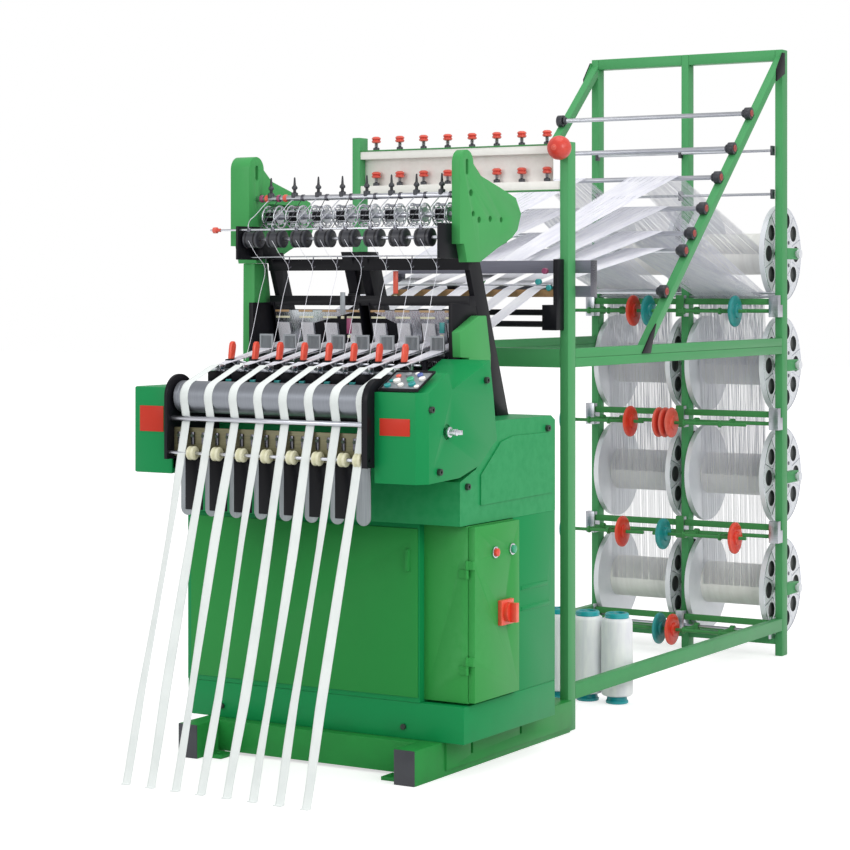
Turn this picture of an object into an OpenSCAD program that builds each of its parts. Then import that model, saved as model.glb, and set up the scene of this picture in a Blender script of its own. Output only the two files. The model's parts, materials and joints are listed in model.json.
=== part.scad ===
// Narrow fabric needle loom with eight heads and its warp creel.
// Millimetres. +X is the operator's right, -Y is the cloth side, +Z is up.
// The origin lies on the floor, in the middle of the four anchor holes.

/* [Heads] */
// Number of weaving heads
heads = 8; // [6:1:8]
// Distance from one head to the next
head_pitch = 82; // [76:1:82]
// Width of a woven tape
tape_w = 27; // [18:1:34]
// Thickness of a woven tape
tape_t = 1.2; // [0.8:0.2:2]

/* [Base] */
// Width over the two base beams
base_w = 774; // [754:2:790]
// Length of the base beams
base_l = 884; // [860:4:920]
// Width of one base beam
beam_w = 64; // [56:2:70]
// Height of the base beams
beam_h = 94; // [84:2:110]
// Wall of the base beams
beam_wall = 5; // [3:0.5:8]
// Anchor hole diameter
anchor_d = 14; // [10:1:18]
// Distance between front and rear anchor holes
anchor_span = 760; // [740:5:790]
// Thickness of the anchor lugs
lug_t = 10; // [8:1:14]

/* [Body] */
// Width of the loom body
body_w = 914; // [904:2:940]
// Front face of the body, ahead of the origin
body_front = 305; // [295:1:315]
// Rear face of the body, behind the origin
body_rear = 214; // [200:1:240]
// Height of the plinth
plinth_h = 100; // [80:2:120]
// Height of the lower body
lower_h = 484; // [470:2:520]
// Sheet thickness of the covers
sheet = 4; // [3:0.5:5]
// Thickness of the front panel
panel_t = 4; // [3:0.5:6]

/* [Electric cabinet] */
// Width of the cabinet box, from the body wall to the door
cab_w = 136; // [126:1:140]
// Depth of the cabinet, front to back
cab_d = 249; // [230:1:253]
// Height of the cabinet
cab_h = 474; // [450:2:480]
// Thickness of the cabinet door
door_t = 20; // [16:1:24]
// Hinge pin diameter
pin_d = 5; // [4:0.5:6]

/* [Roller] */
// Radius of the take-off roller
roller_r = 44; // [38:1:46]
// Radius of its shaft ends
roller_shaft_r = 12.5; // [10:0.5:14]
// Thickness of the right bearing plate
plate_right_t = 18; // [12:1:20]
// Thickness of the left bearing plate
plate_left_t = 10; // [8:1:12]
// Running clearance of a shaft in its bore
fit = 0.05; // [0.02:0.01:0.1]

/* [Gearboxes] */
// Width of the right gearbox
gear_right_w = 151; // [140:1:156]
// Width of the left gearbox
gear_left_w = 130; // [120:1:140]
// How far the gearboxes stand ahead of the body
gear_ahead = 227; // [215:1:230]

/* [Harness] */
// Number of heald frames
frames = 4; // [2:1:4]
// Distance from one heald frame to the next
frame_pitch = 15; // [13:0.5:16]
// Thickness of a heald frame
frame_t = 8; // [6:0.5:9]
// Width of the healds of one head
heald_w = 46; // [36:1:48]
// Width of a window in a heald frame
window_w = 52; // [50:1:58]

/* [Gallery] */
// Radius of a feed wheel
wheel_r = 34; // [28:1:38]
// Radius of a feed drum
drum_r = 25; // [20:1:26]
// Radius of the feed wheel shaft
wheel_shaft_r = 8; // [6:0.5:9]

/* [Creel] */
// Outer width of the creel
creel_w = 760; // [750:2:770]
// Length of the creel, over its posts
creel_l = 1688; // [1640:4:1720]
// Height of the rear posts
creel_h = 2160; // [2130:5:2200]
// Height of the right front post
post_a_h = 1745; // [1742:1:1770]
// Height of the left front post
post_e_h = 1780; // [1745:5:1800]
// Width of a post, seen from the front
post_w = 28; // [24:1:32]
// Depth of a post, seen from the side
post_d = 48; // [40:1:52]
// Underside of the middle side rails
mid_z = 1076; // [1060:2:1084]
// Height of the middle side rails
mid_h = 56; // [50:2:60]
// Underside of the lower side rails
low_z = 90; // [80:2:100]
// Height of the lower side rails
low_h = 44; // [36:2:50]
// Radius of a guide rod
rod_r = 8; // [6:0.5:9]
// Radius of a guide rod holder
holder_r = 21; // [19:1:24]

/* [Warp beams] */
// Diameter of a warp beam flange
flange_d = 350; // [320:5:356]
// Thickness of a flange
flange_t = 18; // [14:1:20]
// Distance between the outer faces of a beam's flanges
beam_len = 308; // [296:2:310]
// Diameter of the yarn wound on a beam
yarn_d = 150; // [120:5:160]
// Height of the lowest beam axis
beam_z0 = 231; // [225:1:240]
// Distance from one beam level to the next
level_pitch = 401; // [395:1:405]
// How far the beam axes lie behind the creel
beam_behind = 85; // [80:1:95]
// Radius of the beam shafts
beam_shaft_r = 10; // [8:0.5:12]

/* [Let-off] */
// Diameter of a weight disc
weight_d = 112; // [90:2:120]
// Thickness of a weight disc
weight_t = 20; // [16:1:24]
// Reach of a lever from its pivot to its weights
lever_reach = 112; // [105:1:118]

/* [Weft] */
// Number of weft cones standing in the creel
cones = 6; // [3:1:6]
// Distance between two weft cones
cone_pitch = 104; // [102:1:110]
// Diameter of the yarn on a weft cone
cone_d = 100; // [80:2:100]
// Height of a weft cone
cone_h = 285; // [240:5:300]
// Distance between two tensioners on the rack
rack_pitch = 86; // [70:1:90]

/* [Hidden] */
$fn = 48;

// Colours
green = [0.24, 0.62, 0.36];
dark_green = [0.18, 0.47, 0.26];
light_green = [0.33, 0.65, 0.36];
black = [0.15, 0.15, 0.17];
steel = [0.72, 0.73, 0.75];
red = [0.80, 0.20, 0.16];
teal = [0.05, 0.55, 0.55];
cream = [0.90, 0.88, 0.78];
yarn = [0.92, 0.91, 0.89];

// A small seat gap between curved faces of different pieces
seat = 0.3;

// Heights of the stacked body
z_plinth = beam_h;
z_body = z_plinth + plinth_h;
z_top = z_body + lower_h;
// Top of the upper cover and of the weaving bed
cover_top = z_top + 272;
bed_top = z_top + 372;

// Lengthwise places
y_front = -body_front;
y_rear = body_rear;
y_gear = y_front - gear_ahead;
gallery_z = z_top + 839;
gallery_y = y_front + 203;

// Gearbox and bearing plate faces
x_right = 320;
x_left = -341;
plate_right_x = x_right - plate_right_t;
plate_left_x = x_left + plate_left_t;

// Roller and tape guides
roller_y = y_gear + 27;
roller_z = z_top + 335;
roller_gap = 6;
plate_r = roller_r + 18;
guide_rod_y = roller_y - 40;
guide_rod_z = roller_z - 58;
guide_rod_r = 7;
guide_roll_y = roller_y - 51;
guide_roll_z = roller_z - 151;
guide_roll_r = 19;
guide_shaft_r = 5;
bearing_depth = 9;

function head_x(k) = (k - (heads - 1) / 2) * head_pitch;

// Boxes and round bars along the axes
module block(x0, x1, y0, y1, z0, z1) {
    translate([x0, y0, z0]) cube([x1 - x0, y1 - y0, z1 - z0]);
}

module bar_x(x0, x1, y, z, r) {
    translate([x0, y, z]) rotate([0, 90, 0]) cylinder(r = r, h = x1 - x0);
}

module bar_y(x, y0, y1, z, r) {
    translate([x, y1, z]) rotate([90, 0, 0]) cylinder(r = r, h = y1 - y0);
}

module bar_z(x, y, z0, z1, r) {
    translate([x, y, z0]) cylinder(r = r, h = z1 - z0);
}

// An outline of (Y, Z) points drawn out from x0 to x1
module side_plate(x0, x1, points) {
    translate([x0, 0, 0]) rotate([90, 0, 90]) linear_extrude(x1 - x0) polygon(points);
}

// ---------------------------------------------------------------- base

lug = 60;
lug_x = base_w / 2 - beam_w - lug / 2;
slot_w = 12;
// Room left for the weld between two pieces that butt
weld = 0.2;
skirt_t = 6;
kick_t = 6;
kick_y = y_front - 35;

module base_beam(side) {
    outer = side * base_w / 2;
    x0 = min(outer, outer - side * beam_w);
    difference() {
        block(x0, x0 + beam_w, -base_l / 2 + cap_t, base_l / 2, 0, beam_h);
        block(x0 + beam_wall, x0 + beam_w - beam_wall,
              -base_l / 2, base_l / 2 - beam_wall, beam_wall, beam_h - beam_wall);
    }
}

module base_skirt(side) {
    x0 = min(side * base_w / 2, side * (base_w / 2 + skirt_t));
    difference() {
        block(x0, x0 + skirt_t, y_front + 20, base_l / 2, 16, beam_h);
        block(x0 - 1, x0 + skirt_t + 1, -155, -155 + slot_w, 40, 84);
        block(x0 - 1, x0 + skirt_t + 1, 122, 122 + slot_w, 48, 88);
    }
}

module anchor_lug(x, y) {
    difference() {
        block(x - lug / 2, x + lug / 2, y - lug / 2, y + lug / 2, 0, lug_t);
        bar_z(x, y, -1, lug_t + 1, anchor_d / 2);
    }
}

module base_frame() {
    cross_h = 50;
    cross_d = 60;
    inner = base_w / 2 - beam_w - weld;
    color(green) {
        for (side = [-1, 1]) union() {
            base_beam(side);
            base_skirt(side);
            for (end = [-1, 1]) {
                anchor_lug(side * lug_x, end * anchor_span / 2);
            }
        }
        for (y = [y_front + 40, y_rear - 40 - cross_d]) {
            block(-inner, inner, y, y + cross_d, beam_h - cross_h, beam_h);
        }
        block(-inner, inner, kick_y, kick_y + kick_t, 8, beam_h);
        block(-inner, inner, kick_y + kick_t + weld, y_front + 40 - weld, beam_h - kick_t, beam_h);
    }
}

cap_t = 3;

module base_end_caps() {
    plug = 22;
    play = 0.4;
    color(black) for (side = [-1, 1]) {
        x = side * (base_w - beam_w) / 2;
        hollow_w = beam_w - 2 * beam_wall - 2 * play;
        hollow_h = beam_h - 2 * beam_wall - 2 * play;
        union() {
            translate([x - beam_w / 2, -base_l / 2, 0]) cube([beam_w, cap_t, beam_h]);
            translate([x - hollow_w / 2, -base_l / 2, beam_wall + play])
                cube([hollow_w, plug, hollow_h]);
        }
    }
}

// ---------------------------------------------------------------- body

module plinth() {
    half = body_w / 2;
    color(green) difference() {
        block(-half, half, y_front + 2, y_rear, z_plinth, z_body);
        block(-half + sheet, half - sheet, y_front + 2 + sheet, y_rear - sheet,
              z_plinth - 1, z_body - sheet);
    }
}

cab_y1 = y_rear - 246;
cab_y0 = cab_y1 - cab_d;
cab_z0 = z_body + 7;
cab_x1 = x_right + cab_w;

module louvre(y0, y1, z) {
    half = body_w / 2;
    depth = 3;
    block(half, half + depth, y0, y1, z - 6, z + 6);
}

module lower_body() {
    half = body_w / 2;
    color(green) union() {
        difference() {
            block(-half, half, y_front, y_rear, z_body, z_top);
            block(-half + sheet, half - sheet, cab_y1 + sheet, y_rear - sheet,
                  z_body - 1, z_top - sheet);
            block(-half + sheet, x_right - sheet, y_front + sheet, cab_y1 + sheet + 1,
                  z_body - 1, z_top - sheet);
            block(x_right, half + 1, y_front - 1, cab_y1, z_body - 1, z_top + 1);
        }
        louvre(12, 165, z_body + 284);
        louvre(12, 177, z_body + 226);
    }
}

module front_panel() {
    margin = 14;
    color(green) union() {
        block(-body_w / 2 + margin, x_right - 4, y_front - panel_t, y_front,
              z_body + margin, z_top - margin);
        // finger latch near the right edge
        block(x_right - 40, x_right - 28, y_front - panel_t - 8, y_front - panel_t,
              z_top - 130, z_top - 70);
    }
}

cover_front = y_front - 19;

module upper_cover() {
    half = body_w / 2;
    centre = [
        [cover_front, z_top], [cover_front, z_top + 262], [y_front + 165, z_top + 272],
        [y_rear - 24, cover_top], [y_rear, cover_top - 14], [y_rear, z_top]];
    side = [
        [cover_front, z_top], [cover_front, z_top + 118], [y_front + 64, z_top + 146],
        [y_front + 118, z_top + 188], [y_front + 165, z_top + 212],
        [y_front + 165, z_top + 272],
        [y_rear - 24, cover_top], [y_rear, cover_top - 14], [y_rear, z_top]];
    emboss = [
        [y_front + 88, z_top + 49], [y_front + 88, z_top + 130],
        [y_front + 198, z_top + 213], [y_front + 266, z_top + 226],
        [y_rear - 31, z_top + 225], [y_rear - 18, z_top + 53]];
    color(green) difference() {
        union() {
            side_plate(x_left, x_right, centre);
            side_plate(x_right, half, side);
            side_plate(-half, x_left, side);
            side_plate(half, half + 4, emboss);
        }
        block(-half + sheet, half - sheet, cover_front + sheet, y_rear - sheet,
              z_top - 1, z_top + 105);
        block(-half + sheet, half - sheet, y_front + 170, y_rear - sheet,
              z_top + 104, cover_top - 20);
    }
}

// ---------------------------------------------------------------- drive

motor_r = 75;
motor_y = -60;
motor_z = z_body + 85;

module drive_motor() {
    belt_x = -330;
    big_r = 90;
    big_z = z_top - 130;
    small_r = 38;
    belt_t = 8;
    belt_w = 20;
    color(black) {
        // motor on its feet, standing on the plinth
        difference() {
            union() {
                bar_x(-290, -60, motor_y, motor_z, motor_r);
                block(-270, -80, motor_y - 70, motor_y + 70, z_body, motor_z - 50);
            }
            bar_x(-300, -250, motor_y, motor_z, roller_shaft_r);
        }
        // motor shaft with its pulley
        union() {
            bar_x(belt_x - 14, -251, motor_y, motor_z, roller_shaft_r);
            bar_x(belt_x - 12, belt_x + 12, motor_y, motor_z, small_r);
        }
        // main shaft with its pulley, in the body's inner walls
        union() {
            bar_x(-body_w / 2 + sheet, x_right - sheet, motor_y, big_z, 15);
            bar_x(belt_x - 12, belt_x + 12, motor_y, big_z, big_r);
        }
        // belt round both pulleys
        difference() {
            union() {
                bar_x(belt_x - belt_w / 2, belt_x + belt_w / 2, motor_y, motor_z, small_r + belt_t);
                bar_x(belt_x - belt_w / 2, belt_x + belt_w / 2, motor_y, big_z, big_r + belt_t);
                belt_side(belt_x, belt_w, small_r + belt_t, big_r + belt_t, big_z);
            }
            bar_x(belt_x - belt_w, belt_x + belt_w, motor_y, motor_z, small_r + seat);
            bar_x(belt_x - belt_w, belt_x + belt_w, motor_y, big_z, big_r + seat);
            belt_side(belt_x, belt_w + 2, small_r + seat, big_r + seat, big_z);
        }
    }
}

// The straight runs between two pulleys, as one filled outline
module belt_side(x, w, r0, r1, z1) {
    s = (r1 - r0) / (z1 - motor_z);
    c = sqrt(1 - s * s);
    side_plate(x - w / 2, x + w / 2, [
        [motor_y - r0 * c, motor_z - r0 * s], [motor_y + r0 * c, motor_z - r0 * s],
        [motor_y + r1 * c, z1 - r1 * s], [motor_y - r1 * c, z1 - r1 * s]]);
}

// ---------------------------------------------------------------- electric cabinet

hinge_x = cab_x1 + 1;
hinge_y = cab_y0 - 6;
knuckle_r = pin_d / 2 + 2.5;
knuckle_h = 23;
door_gap = 1;
door_x0 = cab_x1 + door_gap;
door_x1 = door_x0 + door_t;
hinge_levels = [cab_z0 + 77, cab_z0 + 335];

module electric_cabinet() {
    wall = 3;
    color(light_green) {
        union() {
            difference() {
                block(x_right, cab_x1, cab_y0, cab_y1, cab_z0, cab_z0 + cab_h);
                block(x_right + wall, cab_x1 + 1, cab_y0 + wall, cab_y1 - wall,
                      cab_z0 + wall, cab_z0 + cab_h - wall);
            }
            for (z = hinge_levels) {
                difference() {
                    union() {
                        block(cab_x1 - 26, cab_x1 + 1, cab_y0 - 4, cab_y0 + 1, z, z + knuckle_h);
                        bar_z(hinge_x, hinge_y, z, z + knuckle_h, knuckle_r);
                    }
                    bar_z(hinge_x, hinge_y, z - 1, z + knuckle_h + 1, pin_d / 2);
                    block(cab_x1, cab_x1 + 20, cab_y0 - 0.5, cab_y0 + 2, z - 1, z + knuckle_h + 1);
                }
            }
        }
        for (z = hinge_levels) {
            bar_z(hinge_x, hinge_y, z, z + 2 * knuckle_h + 3, pin_d / 2);
        }
    }
}

module cabinet_door() {
    wall = 2;
    y0 = cab_y0 + 2;
    y1 = cab_y1 - 2;
    z0 = cab_z0 + 2;
    z1 = cab_z0 + cab_h - 2;
    color(light_green) difference() {
        union() {
            difference() {
                block(door_x0, door_x1, y0, y1, z0, z1);
                block(door_x0 - 1, door_x1 - wall, y0 + wall, y1 - wall, z0 + wall, z1 - wall);
            }
            for (z = hinge_levels) {
                block(hinge_x, door_x1, hinge_y - 1, y0 + wall, z + knuckle_h + 1,
                      z + 2 * knuckle_h + 1);
                bar_z(hinge_x, hinge_y, z + knuckle_h + 1, z + 2 * knuckle_h + 1, knuckle_r);
            }
        }
        for (z = hinge_levels) {
            bar_z(hinge_x, hinge_y, z + knuckle_h - 1, z + 2 * knuckle_h + 3, pin_d / 2 + fit);
        }
        for (y = [stop_y, start_y]) {
            bar_x(door_x0, door_x1 + 1, y, button_z, stem_r + fit);
        }
        bar_x(door_x0, door_x1 + 1, switch_y, switch_z, stem_r + fit);
    }
}

button_z = cab_z0 + 396;
stop_y = cab_y0 + 109;
start_y = cab_y0 + 204;
button_r = 11;
stem_r = 6;
bezel_r = 16;
bezel_t = 5;
switch_y = cab_y0 + 161;
switch_z = cab_z0 + 229;
switch_size = 68;
switch_t = 12;

module door_fittings() {
    color(steel) {
        for (y = [stop_y, start_y]) {
            difference() {
                bar_x(door_x1, door_x1 + bezel_t, y, button_z, bezel_r);
                bar_x(door_x1 - 1, door_x1 + bezel_t + 1, y, button_z, button_r + fit);
            }
        }
        // square plate under the main switch
        difference() {
            block(door_x1, door_x1 + switch_t, switch_y - switch_size / 2,
                  switch_y + switch_size / 2, switch_z - switch_size / 2, switch_z + switch_size / 2);
            bar_x(door_x1 - 1, door_x1 + switch_t + 1, switch_y, switch_z, stem_r + fit);
        }
    }
}

module push_button(y) {
    rise = 7;
    union() {
        bar_x(door_x0 + 2, door_x1 + 4, y, button_z, stem_r);
        bar_x(door_x1 + 4, door_x1 + bezel_t + rise, y, button_z, button_r);
    }
}

module stop_button() {
    color(red) push_button(stop_y);
}

module start_button() {
    color(light_green) push_button(start_y);
}

module main_switch_knob() {
    face = door_x1 + switch_t;
    color(red) union() {
        bar_x(door_x0 + 2, face + 1, switch_y, switch_z, stem_r);
        bar_x(face + seat, face + 12, switch_y, switch_z, 27);
        block(face + 11, face + 30, switch_y - 8, switch_y + 8, switch_z - 26, switch_z + 26);
    }
}

// ---------------------------------------------------------------- bed and gearboxes

plate_drop = 170;
plate_waist = 100;
plate_shoulder = 262;
bed_back = 165;
bed_step = 180;
bed_nose = 110;
bed_tail = 90;
bed_lip = 60;

module bearing_plate(x0, x1) {
    difference() {
        union() {
            bar_x(x0, x1, roller_y, roller_z, plate_r);
            block(x0, x1, roller_y - plate_r, cover_front, roller_z - plate_drop, roller_z);
            side_plate(x0, x1, [
                [roller_y, roller_z - plate_waist], [cover_front, roller_z - plate_waist],
                [cover_front, z_top + plate_shoulder], [y_front + bed_back, cover_top],
                [y_front + bed_step, cover_top], [y_front + bed_step, bed_top], [roller_y, bed_top]]);
        }
        bar_x(x0 - 1, x1 + 1, roller_y, roller_z, roller_shaft_r + fit);
        bar_x(x0 - 1, x1 + 1, guide_roll_y, guide_roll_z, guide_shaft_r + fit);
    }
}

module weaving_bed() {
    bed = [
        [cover_front, roller_z - bed_lip], [y_front - bed_nose, roller_z + 5],
        [y_front - bed_nose, bed_top], [y_rear - bed_tail, bed_top], [y_rear - bed_tail, cover_top],
        [y_front + bed_back, cover_top], [cover_front, z_top + plate_shoulder]];
    color(black) union() {
        side_plate(plate_left_x, plate_right_x, bed);
        bearing_plate(plate_right_x, x_right);
        bearing_plate(x_left, plate_left_x);
        sley_bearings();
    }
}

module gear_shell(x0, x1, outline, hollow, wall_side) {
    wall = 8;
    difference() {
        side_plate(x0, x1, outline);
        side_plate(wall_side > 0 ? x0 - 1 : x0 + wall, wall_side > 0 ? x1 - wall : x1 + 1, hollow);
    }
}

hand_y = y_front - 110;
hand_z = z_top + 257;
hand_r = 9;

module right_gearbox() {
    x1 = x_right + gear_right_w;
    chamfer = 25;
    outline = [
        [y_gear, z_top + 125], [y_front - 43, z_top + 132], [y_front + 64, z_top + 159],
        [y_front + 118, z_top + 199], [y_front + 157, z_top + 221],
        [y_front + 140, z_top + 330], [y_front + 118, z_top + 440],
        [y_front + 80, z_top + 424], [y_front - 80, z_top + 367],
        [y_front - 105, z_top + 412], [y_front - 202, z_top + 363], [y_gear, z_top + 363]];
    hollow = [
        [y_gear + chamfer + 5, z_top + 138], [y_front - 43, z_top + 144],
        [y_front + 100, z_top + 210], [y_front + 100, z_top + 345],
        [y_gear + chamfer + 5, z_top + 345]];
    color(green) difference() {
        gear_shell(x_right, x1, outline, hollow, 1);
        translate([x1 - chamfer, y_gear, z_top + 100]) rotate([0, 0, -45])
            translate([0, -chamfer, 0]) cube([chamfer * 2, chamfer * 4, 400]);
        bar_x(x1 - 20, x1 + 1, hand_y, hand_z, hand_r + fit);
        bar_x(x1 - 5, x1 + 1, hand_y, hand_z, 20);
    }
}

module left_gearbox() {
    x0 = x_left - gear_left_w;
    outline = [
        [y_gear, z_top + 122], [y_front - 43, z_top + 129], [y_front + 64, z_top + 156],
        [y_front + 118, z_top + 199], [y_front + 157, z_top + 221],
        [y_front + 157, z_top + 361], [y_gear, z_top + 361]];
    hollow = [
        [y_gear + 10, z_top + 137], [y_front - 43, z_top + 144], [y_front + 100, z_top + 210],
        [y_front + 100, z_top + 350], [y_gear + 10, z_top + 350]];
    color(green) gear_shell(x0, x_left, outline, hollow, -1);
}

module hand_shaft() {
    x1 = x_right + gear_right_w;
    color(steel) union() {
        bar_x(x1 - 20, x1 + 30, hand_y, hand_z, hand_r);
        bar_x(x1 + 2, x1 + 10, hand_y, hand_z, 14);
        // flats for the crank
        block(x1 + 29, x1 + 44, hand_y - 6, hand_y + 6, hand_z - 6, hand_z + 6);
    }
}

module name_plates() {
    plate = 2;
    color(red) {
        block(x_right + 17, x_right + gear_right_w - 42, y_gear - plate, y_gear,
              z_top + 250, z_top + 295);
        block(x_left - gear_left_w + 20, x_left - 28, y_gear - plate, y_gear,
              z_top + 237, z_top + 308);
    }
}

module bolt_side(y, z, x) {
    difference() {
        bar_x(x, x + 10, y, z, 9);
        translate([x + 6, y, z]) rotate([0, 90, 0]) cylinder(r = 4, h = 5, $fn = 6);
    }
}

module bolt_front(x, z, y) {
    bar_y(x, y - 8, y, z, 8);
}

module cover_bolts() {
    side = x_right + gear_right_w;
    half = body_w / 2;
    color(black) {
        bolt_side(y_front - 195, z_top + 319, side);
        bolt_side(y_front - 154, z_top + 155, side);
        bolt_side(y_front + 93, z_top + 386, side);
        bolt_side(y_front + 15, z_top + 104, half);
        bolt_side(y_rear - 51, cover_top - 35, half);
        for (x = [x_right - 51, -body_w / 2 + 120]) {
            bolt_front(x, z_plinth + 32, y_front + 2);
        }
    }
}

// ---------------------------------------------------------------- roller and guides

module take_off_roller() {
    color(steel) union() {
        bar_x(plate_left_x + roller_gap, plate_right_x - roller_gap, roller_y, roller_z, roller_r);
        bar_x(plate_left_x - bearing_depth, plate_right_x + bearing_depth,
              roller_y, roller_z, roller_shaft_r);
    }
}

module guide_rollers() {
    roll_w = 22;
    color(cream) union() {
        bar_x(plate_left_x - bearing_depth, plate_right_x + bearing_depth,
              guide_roll_y, guide_roll_z, guide_shaft_r);
        for (k = [0:heads - 1]) {
            x = head_x(k) + (k == heads - 1 ? 0 : 35);
            bar_x(min(x, plate_right_x - 12 - roll_w / 2) - roll_w / 2,
                  min(x, plate_right_x - 12 - roll_w / 2) + roll_w / 2,
                  guide_roll_y, guide_roll_z, guide_roll_r);
        }
    }
}

module tape_guide_bar() {
    bar_y0 = guide_roll_y + guide_roll_r + 3;
    bar_t = 12;
    blade_w = 44;
    color([0.45, 0.42, 0.25]) {
        block(plate_left_x, plate_right_x, bar_y0, bar_y0 + bar_t,
              roller_z - 163, roller_z - 83);
        bar_x(plate_left_x, plate_right_x, guide_rod_y, guide_rod_z, guide_rod_r);
        for (k = [0:heads - 1]) {
            translate([head_x(k) - 8, bar_y0 + bar_t, roller_z - 150]) blade(blade_w, 175);
        }
    }
}

// A flat hanging plate with a rounded lower end
module blade(w, h) {
    t = 4;
    translate([0, t, 0]) rotate([90, 0, 0]) linear_extrude(t) union() {
        translate([-w / 2, -h + w / 2]) square([w, h - w / 2 + 20]);
        translate([0, -h + w / 2]) circle(r = w / 2);
    }
}

// ---------------------------------------------------------------- weaving heads

fell_y = y_front - 95;
fell_z = bed_top + 48;
needle_y = y_front + 8;

module weaving_head(x) {
    base_w2 = 26;
    // base block
    color(black) block(x - base_w2, x + base_w2, fell_y - 5, needle_y + 22, bed_top, bed_top + 30);
    // breast plate that carries the finished tape
    color(steel) block(x - tape_w / 2 - 3, x + tape_w / 2 + 3, fell_y - 4, fell_y + 22,
                       bed_top + 30, fell_z - 0.2);
    // lever post, red lever and its pin
    color(black) block(x - 20, x + 4, needle_y - 34, needle_y, bed_top + 30, bed_top + 62);
    color(red) side_plate(x - 17, x + 1, [
        [needle_y - 30, bed_top + 62], [needle_y - 10, bed_top + 62],
        [needle_y - 2, bed_top + 96], [needle_y - 8, bed_top + 112],
        [needle_y - 22, bed_top + 108]]);
    // weft needle on its lever
    color(steel) union() {
        block(x + 6, x + 14, needle_y - 20, needle_y - 8, bed_top + 30, bed_top + 58);
        translate([x + 10, needle_y - 14, bed_top + 52]) rotate([0, 0, 90])
            rotate_extrude(angle = 150) translate([26, 0]) square([3, 4]);
        block(x + 6, x + 40, needle_y - 17, needle_y - 11, bed_top + 50, bed_top + 56);
    }
}

module weaving_heads() {
    for (k = [0:heads - 1]) {
        weaving_head(head_x(k));
    }
}

// ---------------------------------------------------------------- harness

col_left_x = -330;
col_right_x = 328;
col_t = 16;
column_top = gallery_z - 102;
mid_half = 15;
guide_y = gallery_y + 42;
guide_top = z_top + 612;
lean = 0.378;
col_d = 67;
col_y = gallery_y + 4;

// Front edge of the leaning columns at a height
function column_y(z) = col_y + (column_top - z) * lean;

module column(x0, x1, z0) {
    side_plate(x0, x1, [
        [column_y(column_top), column_top], [column_y(column_top) + col_d, column_top],
        [column_y(z0) + col_d, z0], [column_y(z0), z0]]);
}

module harness_columns() {
    color(black) union() {
        column(col_left_x, col_left_x + col_t, bed_top);
        column(-mid_half, mid_half, bed_top);
        column(-69, -36, guide_top + 4);
        column(col_right_x, col_right_x + col_t, cover_top);
        block(col_left_x, col_right_x + col_t, col_y + 14, col_y + 66,
              column_top - 53, column_top - 20);
        // fixed guide rail in front of the heald frames
        block(col_left_x, col_right_x + col_t, guide_y - 18, guide_y,
              guide_top - 28, guide_top);
        // its links back to the columns
        for (x = [col_left_x, -mid_half, col_right_x]) {
            block(x, x + col_t, guide_y - 1, column_y(guide_top - 20) + 5,
                  guide_top - 28, guide_top);
        }
        block(-69, -36, guide_y - 1, column_y(guide_top) + 5, guide_top - 2, guide_top + 6);
        // side plates ahead of the outer columns
        for (x = [plate_left_x - 10, col_right_x + 1]) {
            block(x, x + 14, sley_y - 12, column_y(guide_top - 50) + 10, bed_top + 20, guide_top - 20);
        }
        // guide plates that the ends of the heald frames slide along
        for (x = [col_left_x + col_t, mid_half]) {
            guide_plate(x, x + bay_gap - slide_gap);
        }
        for (x = [-mid_half, col_right_x]) {
            guide_plate(x - bay_gap + slide_gap, x);
        }
    }
}

module guide_plate(x0, x1) {
    z0 = bed_top + 80;
    z1 = guide_top - 20;
    side_plate(x0, x1, [
        [frame_y(z0) - 4, z0], [column_y(z0) + 12, z0],
        [column_y(z1) + 12, z1], [frame_y(z1) - 4, z1]]);
}

harness_y = gallery_y + 68;
frame_low = bed_top + 28;
frame_top = guide_top - 42;
frame_lean = 14;
frame_travel = 10;
window_top = guide_top - 78;
window_low = frame_low + 14;
bay_gap = 3;
slide_gap = 0.3;

// Front face of the foremost heald frame at a height
function frame_y(z) = harness_y - (z - frame_low) * tan(frame_lean);

// One half frame, as a plate with a window and healds for each of its heads
module half_frame(x0, x1) {
    slant = cos(frame_lean);
    z1 = (frame_top - frame_low) / slant;
    w0 = (window_low - frame_low) / slant;
    w1 = (window_top - frame_low) / slant;
    difference() {
        block(x0, x1, 0, frame_t, 0, z1);
        for (k = [0:heads - 1]) {
            x = head_x(k);
            if (x > x0 && x < x1) {
                block(x - window_w / 2, x + window_w / 2, -1, frame_t + 1, w0, w1);
            }
        }
    }
    for (k = [0:heads - 1]) {
        x = head_x(k);
        if (x > x0 && x < x1) {
            heald_set(x, w0, w1);
        }
    }
}

// Healds of one head, as a comb of flat wires with an eye gap between each
module heald_set(x, z0, z1) {
    wires = 6;
    gap = 4;
    t = 1.6;
    y0 = (frame_t - t) / 2;
    difference() {
        block(x - heald_w / 2, x + heald_w / 2, y0, y0 + t, z0 - 1, z1 + 1);
        for (i = [1:wires - 1]) {
            gx = x - heald_w / 2 + i * heald_w / wires;
            block(gx - gap / 2, gx + gap / 2, 0, frame_t, z0 + 8, z1 - 8);
        }
    }
}

module harness_frame(i) {
    color(black) translate([0, harness_y + i * frame_pitch, frame_low]) rotate([frame_lean, 0, 0]) {
        half_frame(col_left_x + col_t + bay_gap, -mid_half - bay_gap);
        half_frame(mid_half + bay_gap, col_right_x - bay_gap);
    }
}

module harness_frame_1() { harness_frame(0); }
module harness_frame_2() { if (frames > 1) harness_frame(1); }
module harness_frame_3() { if (frames > 2) harness_frame(2); }
module harness_frame_4() { if (frames > 3) harness_frame(3); }

// ---------------------------------------------------------------- reed and sley

sley_y = y_front + 150;
sley_z = bed_top + 22;
sley_r = 6;
reed_w = 46;
sley_end = 311;

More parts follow.
